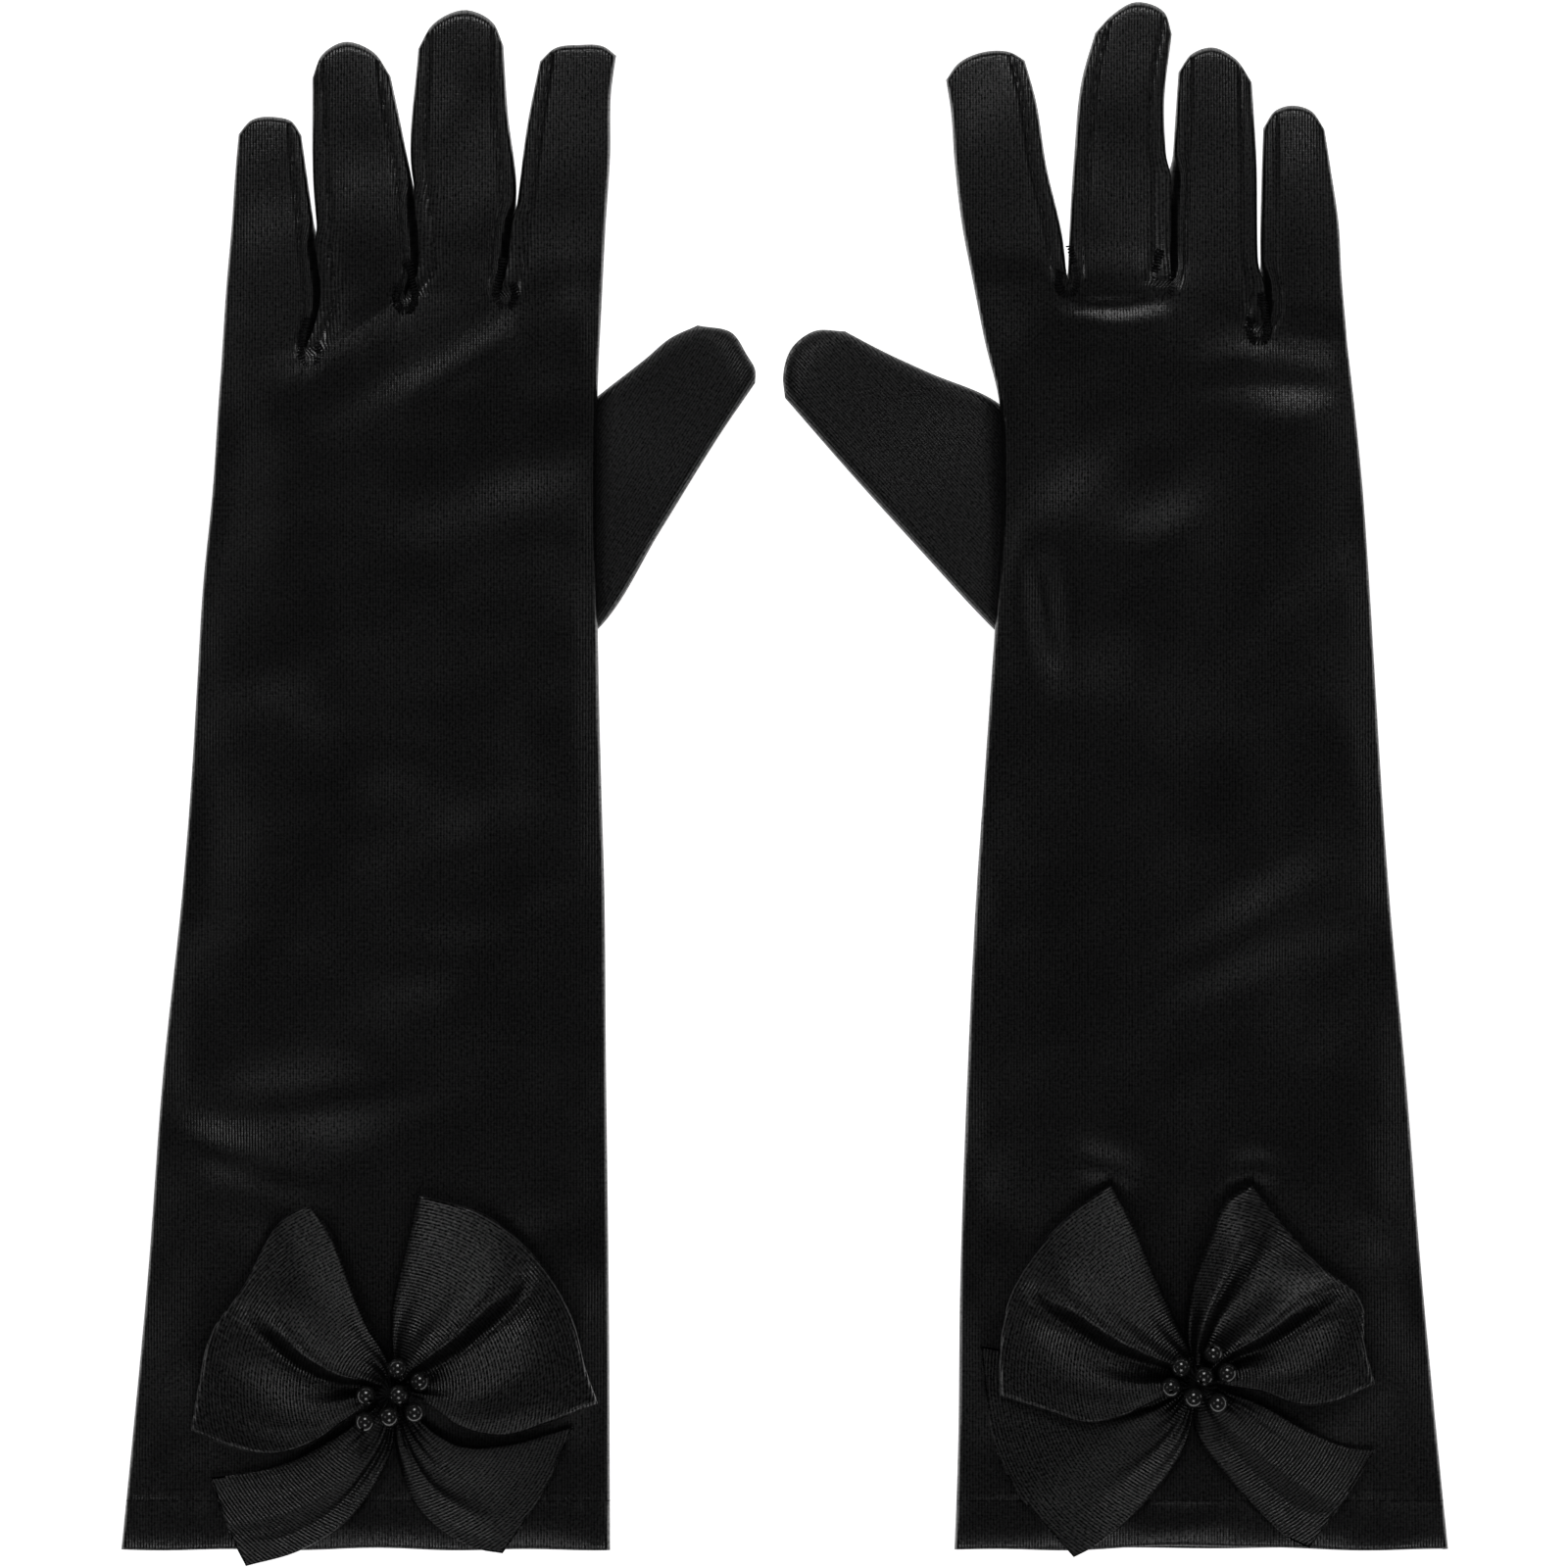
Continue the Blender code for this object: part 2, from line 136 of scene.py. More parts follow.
# Outlines in millimetres from the middle of a glove's cuff: across is positive towards the thumb,
# along is positive towards the fingertips. Sides are (along, across); everything else is
# (across, along). A finger's sides, a and b, start at the forks in base, and its tip joins their
# ends. A lobe's sides start at the middle of the bow, and its rim joins their ends.
# A fold is (height, width, route), a pleat (middle, width, height) across a lobe, and a tuck
# (crest, the side it falls to, height, depth).
LEFT = {
    "side": 1,
    "seed": 7,
    "bow_seed": 13,
    "outer": (
        (0, -49.8), (16, -48.2), (56, -44.4), (96, -41.4), (136, -37.2), (156, -35.6),
        (176, -34.4), (196, -33.2), (216, -31.2), (234, -30.0), (242, -29.4),
    ),
    "inner": (
        (0, 49.8), (56, 49.5), (96, 49.0), (136, 48.6), (156, 48.0), (176, 47.5), (240, 47.4),
        (254, 48.1),
    ),
    "base": ((-29.4, 241.5), (-11.2, 242.8), (8.2, 254.2), (28.6, 254.8), (48.1, 254.0)),
    "fingers": {
        "little": {
            "a": ((-28.4, 257.8), (-27.4, 269.8), (-26.6, 281.8), (-26.0, 288.4)),
            "b": ((-8.9, 255.8), (-9.8, 264), (-11.6, 277), (-13.2, 288.2)),
            "tip": ((-23.5, 291.2), (-18.6, 291.9), (-15.2, 291.0)),
        },
        "ring": {
            "a": ((-8.5, 255.8), (-9.4, 264), (-10.7, 277), (-11.0, 299.8)),
            "b": ((10.5, 259), (10.5, 271), (7.6, 287.8), (5.0, 300.2)),
            "tip": ((-9.0, 304.6), (-4.6, 307.2), (1.4, 305.2)),
        },
        "middle": {
            "a": ((10.9, 259), (11.1, 270), (9.2, 281.8), (10.6, 305.8)),
            "b": ((29.3, 264), (30.7, 276.4), (28.9, 293), (28.0, 306.5)),
            "tip": ((13.6, 310.8), (20.6, 313.7), (25.8, 311.2)),
        },
        "index": {
            "a": ((29.8, 264), (31.1, 276.4), (32.8, 290), (35.4, 303.2)),
            "b": ((48.9, 269.8), (49.8, 284), (50.0, 297), (51.0, 304.4)),
            "tip": ((38.4, 305.9), (43.4, 306.6), (48.6, 306.2)),
        },
    },
    "thumb": {
        "a": ((47.5 - TUCK, 181.5), (47.6, 187.8), (60, 207.5), (73, 228.4), (79.3, 237.6)),
        "b": ((47.5 - TUCK, 229.5), (47.5, 235.2), (57.2, 242.8), (62, 246.8), (67.6, 249.4)),
        "tip": ((79.4, 240.0), (77.5, 243.6), (74.8, 247.7)),
    },
    "folds": (
        (0.7, 3.8, ((4, 233), (15, 238), (27, 245.5), (32, 249))),
        (0.7, 7.0, ((46, 240), (44, 250), (45, 260))),
        (0.6, 5.0, ((-18, 236), (-8, 240), (0, 246))),
        (1.35, 6.8, ((-44, 97.5), (-32, 92.0), (-15, 90.5), (4, 94.5), (18, 96))),
        (-0.7, 4.4, ((-43, 88), (-30, 81), (-16, 75.5), (-6, 73))),
        (0.7, 7.0, ((-42, 80), (-32, 72.5), (-18, 67), (-6, 64))),
        (0.9, 9.0, ((20, 140), (22, 132))),
        (0.8, 10.0, ((40, 190), (42, 204))),
        (1.2, 12.0, ((36, 168), (39, 184))),
        (0.8, 10.0, ((38, 140), (42, 152))),
        (0.5, 7.0, ((-16, 197), (2, 195))),
        (0.5, 9.0, ((-26, 160), (-20, 150), (-22, 140))),
        (-0.5, 7.0, ((-4, 168), (12, 160), (24, 148))),
        (0.6, 6.0, ((-33, 60), (-36, 40), (-38, 24))),
        (0.7, 5.0, ((36, 66), (42, 48), (43, 26))),
        (0.5, 3.0, ((15, 285), (19, 298))),
        (0.4, 3.0, ((-4, 262), (-2, 282))),
    ),
    "edge_lift": 0.25,
    "gaps": (269.0, 277.5, 273.5),
    "loops": (
        {
            "a": ((-1.0, 7.2), (-4.4, 13), (-8.4, 22.4), (-12, 31.2), (-16.4, 37.4)),
            "rim": ((-20, 36.2), (-31.2, 19.8), (-37, 11.4), (-39.6, 0.6)),
            "b": ((-9.4, -6), (-16.4, -10.8), (-25.2, -13.2), (-35, -11), (-41, -8.4)),
            "pleats": ((0.20, 0.13, 0.9), (0.80, 0.12, 0.8)),
            "tucks": ((0.43, 1, 2.5, 5.2),),
        },
        {
            "a": ((7.6, -3.4), (14, -7.6), (21.6, -9.4), (31.6, -6.8), (41.6, -2.8)),
            "rim": ((39.2, 4.2), (36.4, 14.8), (29.4, 26.4), (19.4, 35.2)),
            "b": ((-0.2, 7), (-0.4, 16), (1.6, 26), (3.6, 34), (5, 39.6)),
            "pleats": ((0.82, 0.14, 0.8), (0.22, 0.12, 0.9)),
            "tucks": ((0.60, -1, 2.7, 5.4),),
        },
    ),
    "tails": (
        {
            "a": ((-5.5, -5), (-11.8, -9.4), (-21.2, -14.6), (-31.2, -17.2), (-37.2, -18)),
            "rim": ((-35.2, -24), (-33, -30)),
            "b": ((-0.4, -12.8), (-3.6, -19.4), (-9.4, -26.8), (-19.4, -33), (-30, -36)),
            "pleats": ((0.5, 0.18, 0.9), (0.8, 0.08, -0.8)),
        },
        {
            "a": ((0.8, -14), (5.2, -24.4), (11.2, -29.6), (17.5, -32.6), (22.2, -33.4)),
            "rim": ((26.6, -27.2), (31, -19.8)),
            "b": ((6.4, -7), (13.4, -11.2), (24.6, -10.8), (31, -9.4), (36.6, -7.8)),
            "pleats": ((0.5, 0.18, 0.9), (0.25, 0.08, -0.8)),
        },
    ),
}
RIGHT = {
    "side": -1,
    "seed": 11,
    "bow_seed": 23,
    "outer": (
        (0, -50.3), (16, -48.7), (56, -44.9), (96, -41.7), (136, -38.1), (156, -36.7),
        (176, -35.5), (196, -34.3), (216, -32.9), (234, -31.1), (246, -29.7),
    ),
    "inner": (
        (0, 50.3), (16, 49.7), (56, 49.1), (96, 47.7), (136, 45.7), (156, 44.3), (176, 42.9),
        (196, 41.5), (216, 40.4), (234, 41.2), (246, 44.1), (257, 46.3),
    ),
    "base": ((-29.6, 245.5), (-11.5, 247.8), (7.9, 256.6), (27.3, 257.4), (46.3, 257.0)),
    "fingers": {
        "little": {
            "a": ((-28.6, 260), (-28.1, 269.8), (-26.4, 281.8), (-25.2, 289.4)),
            "b": ((-12.6, 252), (-12.1, 262), (-12.3, 278), (-12.7, 289.6)),
            "tip": ((-22.4, 293.2), (-18.1, 294.2), (-15.2, 293.2)),
        },
        "ring": {
            "a": ((-12.2, 252), (-11.6, 262), (-11.3, 284), (-10.4, 299)),
            "b": ((6.9, 262), (6.5, 272), (5.5, 287.8), (4.6, 301)),
            "tip": ((-7.0, 303.8), (-2.1, 306.1), (1.8, 304.8)),
        },
        "middle": {
            "a": ((7.2, 262), (6.8, 276), (7.4, 296), (5.9, 308.8)),
            "b": ((26.9, 268), (25.9, 284), (24.2, 300), (21.6, 309)),
            "tip": ((7.4, 313.2), (13.4, 315.3), (18.2, 312.6)),
        },
        "index": {
            "a": ((28.2, 266.8), (31.5, 281.8), (33.8, 296), (35.9, 303.4)),
            "b": ((48.8, 270), (50.3, 283), (51.1, 293.8), (52.0, 299.4)),
            "tip": ((38.6, 305), (44, 305.2), (49.6, 302.7)),
        },
    },
    "thumb": {
        "a": ((42.0 - TUCK, 180.5), (42.6, 187.8), (58, 204.4), (73, 221), (84.8, 234.6)),
        "b": ((42.0 - TUCK, 228.5), (41.8, 233.9), (55.5, 239.8), (65, 244.2), (72.6, 248.2)),
        "tip": ((85.2, 239.0), (83.4, 244.8), (78.9, 248.2)),
    },
    "folds": (
        (-0.75, 1.3, ((28, 253.6), (18, 252.9), (7, 254.2))),
        (0.5, 3.2, ((27, 250.2), (17, 249.2), (7, 251))),
        (0.4, 3.8, ((4, 240), (-6, 242.5), (-16, 241), (-27, 240))),
        (-0.35, 2.6, ((2, 236.5), (-12, 238), (-28, 236))),
        (0.4, 4.6, ((-8, 232), (-18, 230), (-28, 230))),
        (0.65, 6.4, ((24, 208), (12, 204.5), (0, 207), (-10, 212), (-17, 216))),
        (1.15, 7.8, ((14, 115.5), (0, 121), (-16, 128), (-30, 135.5), (-40, 139.5))),
        (-0.5, 6.0, ((8, 106), (-8, 110), (-26, 119), (-38, 125))),
        (0.8, 10.0, ((-24, 176), (-28, 166))),
        (1.0, 11.0, ((-38, 98), (-34, 88))),
        (-1.2, 3.2, ((33.5, 204), (31.8, 192), (30, 178))),
        (0.8, 6.0, ((38, 210), (39, 196), (37, 182))),
        (1.1, 6.5, ((-34, 76), (-36, 66))),
        (0.9, 3.6, ((26, 80), (19, 78), (12, 76))),
        (0.9, 3.6, ((-4, 76), (-10, 78), (-16, 77))),
        (0.5, 8.0, ((20, 150), (10, 158))),
        (0.6, 6.0, ((-36, 46), (-40, 30))),
        (0.6, 6.0, ((44, 60), (45, 36), (45, 20))),
        (0.5, 3.0, ((22, 283), (23, 268))),
        (0.4, 3.0, ((-20, 262), (-20, 284))),
    ),
    "edge_lift": 0.9,
    "gaps": (261.0, 283.0, 259.0),
    "loops": (
        {
            "a": ((-1.6, 6.4), (-4.8, 13.2), (-8.8, 22), (-14.2, 34.2), (-17.6, 39.6)),
            "rim": ((-23.6, 35.6), (-32.4, 27), (-38.2, 17), (-40.2, 7.2)),
            "b": ((-10, -4.8), (-16, -7.6), (-22.2, -8.8), (-31, -6.4), (-40.2, -3.4)),
            "pleats": ((0.20, 0.14, 0.9), (0.82, 0.12, 0.8)),
            "tucks": ((0.46, 1, 2.5, 5.2),),
        },
        {
            "a": ((6, -1.2), (13, -2.4), (21, -5.2), (27.8, -4.6), (36, -1)),
            "rim": ((33.9, 7.2), (33.2, 16), (24.4, 23.6), (16.2, 32.8)),
            "b": ((-2.6, 8.4), (-2, 18), (1.4, 27.4), (6.2, 37.0), (10.8, 39.6)),
            "pleats": ((0.20, 0.12, 0.9), (0.86, 0.10, 1.2)),
            "tucks": ((0.46, -1, 2.6, 5.2), (0.80, -1, 1.4, 2.4)),
        },
    ),
    "tails": (
        {
            "a": ((-10, -1.5), (-20, 0), (-30, 3), (-38, 5.6), (-44.2, 6.8)),
            "rim": ((-42.8, -5), (-40.8, -15.2), (-36.6, -23)),
            "b": ((-2.6, -13.8), (-8.8, -23.2), (-16.8, -30.8), (-21, -34.0), (-25.2, -36.2)),
            "pleats": ((0.55, 0.16, 0.9), (0.8, 0.08, -0.8)),
        },
        {
            "a": ((-0.6, -10.4), (5.4, -19.2), (12.2, -26.6), (19, -32.6), (22.8, -34.4)),
            "rim": ((26, -30), (30.6, -23.4)),
            "b": ((6, -2.4), (12.2, -4.6), (22.4, -10.4), (31, -14.0), (36.2, -14.4)),
            "pleats": ((0.5, 0.18, 0.9), (0.25, 0.08, -0.8)),
        },
    ),
}

# The bow, in millimetres: heights above the sleeve, puffs, and how far in a rim is rounded.
TAILS_UNDER, TAIL_PUFF, TAIL_RIM = 0.1, 3.0, 0.5
LOOPS_UNDER, LOOP_PUFF, LOOP_RIM = 2.5, 7.0, 0.8
BOW_ROWS, BOW_COLUMNS = 58, 72
BOW_PINCH = 0.55
LOBE_LEAST = 0.9
# A lobe's height as a share of its puff, from the gathered middle (0) to the rim (1).
LOBE_PROFILE = ((0, 0.5), (0.15, 0.82), (0.35, 1.0), (0.6, 0.80), (0.8, 0.54), (1.0, 0.27))
GATHER_TURNS = 9
BEADS, BEAD_HOLE, BEAD_ARC_POINTS, BEAD_SIDES = 7, 0.42, 25, 48

# The satin: a knitted loop's pitch as a share of the wales', and its least gloss.
LOOP_PITCH = 0.8
LEAST_GLOSS = 0.04

# The studio, in metres and watts.
SOFTBOX_SIZE, SOFTBOX_HEIGHT = (0.6, 0.55), 1.3
SOFTBOXES = (
    ("left_softbox", -1.35, 0, 0.9),
    ("right_softbox", 1.35, 0, 0.9),
    ("far_softbox", 0, 1.0, 7.5),
    ("near_softbox", 0, -1.0, 3.6),
)
FLOOR_HALF, FLOOR_Z = 6.0, -0.0002
WALL_RADIUS, WALL_LEVELS, WALL_SIDES = 5.5, (FLOOR_Z, 2.4, 14), 64
CAMERA_HEIGHT, VIEW_WIDTH, SENSOR = 2.0, 0.32, 36


# ---------------------------------------------------------------- curves and grids


def smooth(x):
    """Eases from 0 at x = 0 to 1 at x = 1."""
    x = np.clip(x, 0, 1)
    return x * x * (3 - 2 * x)


def bell(x, width=1.0):
    """A bell-shaped swell: 1 at x = 0, and almost gone two widths away."""
    return np.exp(-((x / width) ** 2))


def quarter(x):
    """A rounded edge's height, 0 at the edge and 1 from x = 1 on."""
    x = np.clip(x, 0, 1)
    return np.sqrt(np.maximum(0.0, 1 - (1 - x) ** 2))


def spline(points, at):
    """A smooth curve through (x, y) points with growing x, read at the given x."""
    x, y = np.array(points, float).T
    at = np.asarray(at, float)
    slope = np.gradient(y, x)
    i = np.clip(np.searchsorted(x, at) - 1, 0, len(x) - 2)
    step = x[i + 1] - x[i]
    t = np.clip((at - x[i]) / step, 0, 1)
    start = t * (1 - t) ** 2 * step * slope[i]
    end = t * t * (t - 1) * step * slope[i + 1]
    return y[i] + (y[i + 1] - y[i]) * smooth(t) + start + end


def lengths(points):
    """How far along a route of points each point is."""
    return np.concatenate([[0], np.cumsum(np.linalg.norm(np.diff(points, axis=0), axis=1))])


def curve(points, at):
    """Points on a smooth curve through a route of points, at shares 0 to 1 of its length."""
    points = np.array(points, float)
    along = lengths(points)
    along /= along[-1]
    return np.stack([spline(np.stack([along, values], 1), at) for values in points.T], -1)


def route_distance(u, v, route):
    """Distance to a route of points, and how far along it the nearest point is, 0 to 1."""
    best = np.full(np.shape(u), np.inf)
    where = np.zeros(np.shape(u))
    for i, (start, end) in enumerate(zip(route, route[1:])):
        way = end - start
        t = np.clip(((u - start[0]) * way[0] + (v - start[1]) * way[1]) / (way @ way), 0, 1)
        far = np.hypot(u - start[0] - t * way[0], v - start[1] - t * way[1])
        closer = far < best
        best = np.where(closer, far, best)
        where = np.where(closer, (i + t) / (len(route) - 1), where)
    return best, where


def folds(shape, u, v):
    """The height that lasting folds and the cloth's own unevenness add, in millimetres."""
    total = np.zeros(np.shape(u))
    for height, width, route in shape["folds"]:
        dense = curve(route, np.linspace(0, 1, FOLD_POINTS))
        far, where = route_distance(u, v, dense)
        reach = np.linalg.norm(np.diff(dense, axis=0), axis=1).sum()
        ends = min(1.0, reach / (4 * width))
        fade = 1 - 0.75 * ends * (2 * where - 1) ** 2
        total += height * fade * bell(far, width)
    waves = np.random.default_rng(shape["seed"])
    for _ in range(WAVES):
        length = waves.uniform(*WAVE_LENGTHS)
        angle = waves.uniform(0, 2 * np.pi)
        phase = waves.uniform(0, 2 * np.pi)
        way = u * math.cos(angle) + v * math.sin(angle)
        total += WAVE_SLOPE * length * np.sin(2 * np.pi * way / length + phase)
    return total


def ring_normals(points):
    """Unit normals of a grid of points that closes on itself across its columns."""
    across = (np.roll(points, -1, 1) - np.roll(points, 1, 1)) / 2
    normal = np.cross(across, np.gradient(points, axis=0))
    size = np.linalg.norm(normal, axis=-1, keepdims=True)
    return normal / np.maximum(size, 1e-9)


def rounded_rise(columns):
    """A flattened tube's share of its full height across a row: rounded sides, level between."""
    return np.concatenate([SIDE_UP, np.ones(columns), SIDE_UP[::-1]])


def tip_bulge(shape, shares):
    """How far a finger's outline passes the straight line between the tops of its two sides."""
    first, last = np.array(shape["a"][-1]), np.array(shape["b"][-1])
    around = np.linspace(0, 1, TIP_POINTS)
    tip = curve((first, *shape["tip"], last), around)
    outline = np.stack([np.interp(shares, around, values) for values in tip.T], -1)
    return outline - (first + (last - first) * shares[:, None])


def stitch_routes(line, first, last, step, places, heights):
    """A short route for each stitch along a line of points."""
    length = lengths(line)
    routes = []
    for start in np.arange(first, length[-1] - last, step):
        at = start + np.array(places)
        points = np.stack([np.interp(at, length, values) for values in line.T], -1)
        points[:, 2] += np.array(heights)
        routes.append(points)
    return routes


# ---------------------------------------------------------------- making pieces


def add_object(name, data, material=None):
    made = bpy.data.objects.new(name, data)
    bpy.context.scene.collection.objects.link(made)
    if material:
        data.materials.append(material)
    return made


def add_piece(name, mesh, look):
    """A piece of the glove, with its material."""
    material, slot = look
    piece = add_object(name, mesh, material)
    return piece


def finish_mesh(mesh):
    """Joins points that coincide, then shades with the normals that neighbouring pieces share."""
    shape = bmesh.new()
    shape.from_mesh(mesh)
    bmesh.ops.remove_doubles(shape, verts=shape.verts, dist=2e-6)
    bmesh.ops.dissolve_degenerate(shape, edges=shape.edges, dist=1e-7)
    shape.to_mesh(mesh)
    shape.free()
    mesh.shade_smooth()
    kept = np.zeros(len(mesh.vertices) * 3, np.float32)
    mesh.attributes["shade"].data.foreach_get("vector", kept)
    mesh.normals_split_custom_set_from_vertices(kept.reshape(-1, 3).tolist())
    mesh.attributes.remove(mesh.attributes["shade"])


def sheet_faces(points, normals):
    """Faces of a sheet's outer side, its inner side and the rim between them."""
    index = np.arange(points[..., 0].size).reshape(points.shape[:2])
    corners = (index[:-1, :-1], index[:-1, 1:], index[1:, 1:], index[1:, :-1])
    outer = np.stack(corners, -1).reshape(-1, 4)
    inner = outer[:, ::-1] + index.size
    border = np.concatenate([index[0, :], index[1:, -1], index[-1, -2::-1], index[-2:0:-1, 0]])
    after = np.roll(border, -1)
    rim = np.stack([after, border, border + index.size, after + index.size], -1)
    faces = np.concatenate([outer, inner, rim])
    facing = np.cross(points[:-1, 1:] - points[:-1, :-1], points[1:, :-1] - points[:-1, :-1])
    if (facing * normals[:-1, :-1]).sum() < 0:
        faces = faces[:, ::-1]
    return faces


def cloth_piece(name, points, normals, cloth_uv, look, thickness=CLOTH, held="laid", rests_on=()):
    """A sheet of cloth with an outer and an inner side, from a grid of points in millimetres."""
    thick = np.broadcast_to(np.asarray(thickness, float), points.shape[:2])[..., None]
    inner = points - normals * thick
    verts = np.concatenate([points.reshape(-1, 3), inner.reshape(-1, 3)]) * MM
    shade = np.concatenate([normals.reshape(-1, 3), -normals.reshape(-1, 3)])
    mesh = bpy.data.meshes.new(name)
    mesh.from_pydata(verts.tolist(), [], sheet_faces(points, normals).tolist())
    layer = mesh.uv_layers.new(name="cloth")
    flat = np.concatenate([cloth_uv.reshape(-1, 2)] * 2) * MM
    corners = np.zeros(len(mesh.loops), np.int32)
    mesh.loops.foreach_get("vertex_index", corners)
    layer.data.foreach_set("uv", flat[corners].astype(np.float32).ravel())
    kept = mesh.attributes.new("shade", "FLOAT_VECTOR", "POINT")
    kept.data.foreach_set("vector", shade.astype(np.float32).ravel())
    piece = add_piece(name, mesh, look)
    finish_mesh(mesh)
    return piece


def thread(name, routes, radius, look, resolution=1):
    """One object of thread that follows each route of points, in millimetres."""
    data = bpy.data.curves.new(name, "CURVE")
    data.dimensions = "3D"
    data.bevel_depth = radius * MM
    data.bevel_resolution = resolution
    data.use_fill_caps = True
    for route in routes:
        line = data.splines.new("POLY")
        line.points.add(len(route) - 1)
        for point, place in zip(line.points, route):
            point.co = (place[0] * MM, place[1] * MM, place[2] * MM, 1)
    drawn = add_object(name + "_drawn", data)
    bpy.context.view_layer.update()
    mesh = bpy.data.meshes.new_from_object(drawn.evaluated_get(bpy.context.evaluated_depsgraph_get()))
    mesh.name = name
    bpy.data.objects.remove(drawn)
    bpy.data.curves.remove(data)
    mesh.shade_smooth()
    return add_piece(name, mesh, look)


# ---------------------------------------------------------------- materials


def new_material(name):
    """A new material, its nodes and links, and its shader's inputs."""
    made = bpy.data.materials.new(name)
    made.use_nodes = True
    nodes = made.node_tree.nodes
    return made, nodes, made.node_tree.links, nodes["Principled BSDF"].inputs


def satin(name, colour, roughness, pitch, depth, grain_depth, contrast, lustre):
    """Knitted satin: fine wales along the cloth, loops across them, and an uneven lustre.

    The pitch and depth of the wales and the depth of the grain are in millimetres.
    """
    made, nodes, links, shader = new_material(name)
    uv = nodes.new("ShaderNodeUVMap")
    uv.uv_map = "cloth"
    split = nodes.new("ShaderNodeSeparateXYZ")
    links.new(uv.outputs["UV"], split.inputs["Vector"])

    def math_node(operation, *values):
        node = nodes.new("ShaderNodeMath")
        node.operation = operation
        for socket, value in zip(node.inputs, values):
            if isinstance(value, (int, float)):
                socket.default_value = value
            else:
                links.new(value, socket)
        return node.outputs[0]

    def noise(size, detail):
        node = nodes.new("ShaderNodeTexNoise")
        node.inputs["Scale"].default_value = 1 / (size * MM)
        node.inputs["Detail"].default_value = detail
        links.new(uv.outputs["UV"], node.inputs["Vector"])
        return node.outputs["Fac"]

    turn = 2 * math.pi / MM
    drift = math_node("MULTIPLY", noise(3.0, 1.0), 1.6)
    wales = math_node("SINE", math_node("MULTIPLY_ADD", split.outputs["X"], turn / pitch, drift))
    loops = math_node("SINE", math_node("MULTIPLY", split.outputs["Y"], turn / (pitch * LOOP_PITCH)))
    knit = math_node("MULTIPLY_ADD", loops, 0.18, wales)
    grain = noise(0.6, 2.0)
    bump = nodes.new("ShaderNodeBump")
    bump.inputs["Distance"].default_value = depth * MM
    links.new(math_node("MULTIPLY_ADD", grain, grain_depth / depth, knit), bump.inputs["Height"])
    links.new(bump.outputs["Normal"], shader["Normal"])

    ribs = math_node("MULTIPLY", knit, 0.45)
    fleck = math_node("MULTIPLY_ADD", math_node("SUBTRACT", grain, 0.5), 3.2, ribs)
    gloss = math_node("MULTIPLY_ADD", fleck, lustre * contrast, lustre)
    links.new(math_node("MAXIMUM", gloss, LEAST_GLOSS), shader["Specular IOR Level"])
    cloudy = math_node("MULTIPLY_ADD", noise(18, 3.0), 0.12, roughness - 0.06)
    links.new(cloudy, shader["Roughness"])

    tint = nodes.new("ShaderNodeMix")
    tint.data_type = "RGBA"
    tint.inputs[6].default_value = (*[channel * 0.7 for channel in colour], 1)
    tint.inputs[7].default_value = (*[channel * 1.6 for channel in colour], 1)
    links.new(grain, tint.inputs[0])
    links.new(tint.outputs[2], shader["Base Color"])
    made.diffuse_color = (*colour, 1)
    return made


def plain(name, colour, roughness, coat=0.0, specular=0.5, grain=0.0):
    """Thread, or moulded plastic: one colour with a fine unevenness in its gloss."""
    made, nodes, links, shader = new_material(name)
    shader["Specular IOR Level"].default_value = specular
    shader["Coat Weight"].default_value = coat
    shader["Coat Roughness"].default_value = 0.03
    place = nodes.new("ShaderNodeTexCoord")
    noise = nodes.new("ShaderNodeTexNoise")
    noise.inputs["Scale"].default_value = 1 / (1.6 * MM)
    noise.inputs["Detail"].default_value = 3.0
    links.new(place.outputs["Object"], noise.inputs["Vector"])
    rough = nodes.new("ShaderNodeMapRange")
    rough.inputs["To Min"].default_value = roughness * 0.8
    rough.inputs["To Max"].default_value = roughness * 1.25
    links.new(noise.outputs["Fac"], rough.inputs["Value"])
    links.new(rough.outputs["Result"], shader["Roughness"])
    ramp = nodes.new("ShaderNodeValToRGB")
    for element, strength in zip(ramp.color_ramp.elements, (0.8, 1.3)):
        element.color = (*[channel * strength for channel in colour], 1)
    links.new(noise.outputs["Fac"], ramp.inputs["Fac"])
    links.new(ramp.outputs["Color"], shader["Base Color"])
    if grain:
        bump = nodes.new("ShaderNodeBump")
        bump.inputs["Distance"].default_value = grain * MM
        links.new(noise.outputs["Fac"], bump.inputs["Height"])
        links.new(bump.outputs["Normal"], shader["Normal"])
    made.diffuse_color = (*colour, 1)
    return made


def glowing(name, grey, roughness):
    """A matt surface that gives off white light."""
    made, _, _, shader = new_material(name)
    shader["Base Color"].default_value = (grey, grey, grey, 1)
    shader["Roughness"].default_value = roughness
    shader["Specular IOR Level"].default_value = 0.0
    shader["Emission Color"].default_value = (1, 1, 1, 1)
    shader["Emission Strength"].default_value = 1.0
    return made


# ---------------------------------------------------------------- one glove


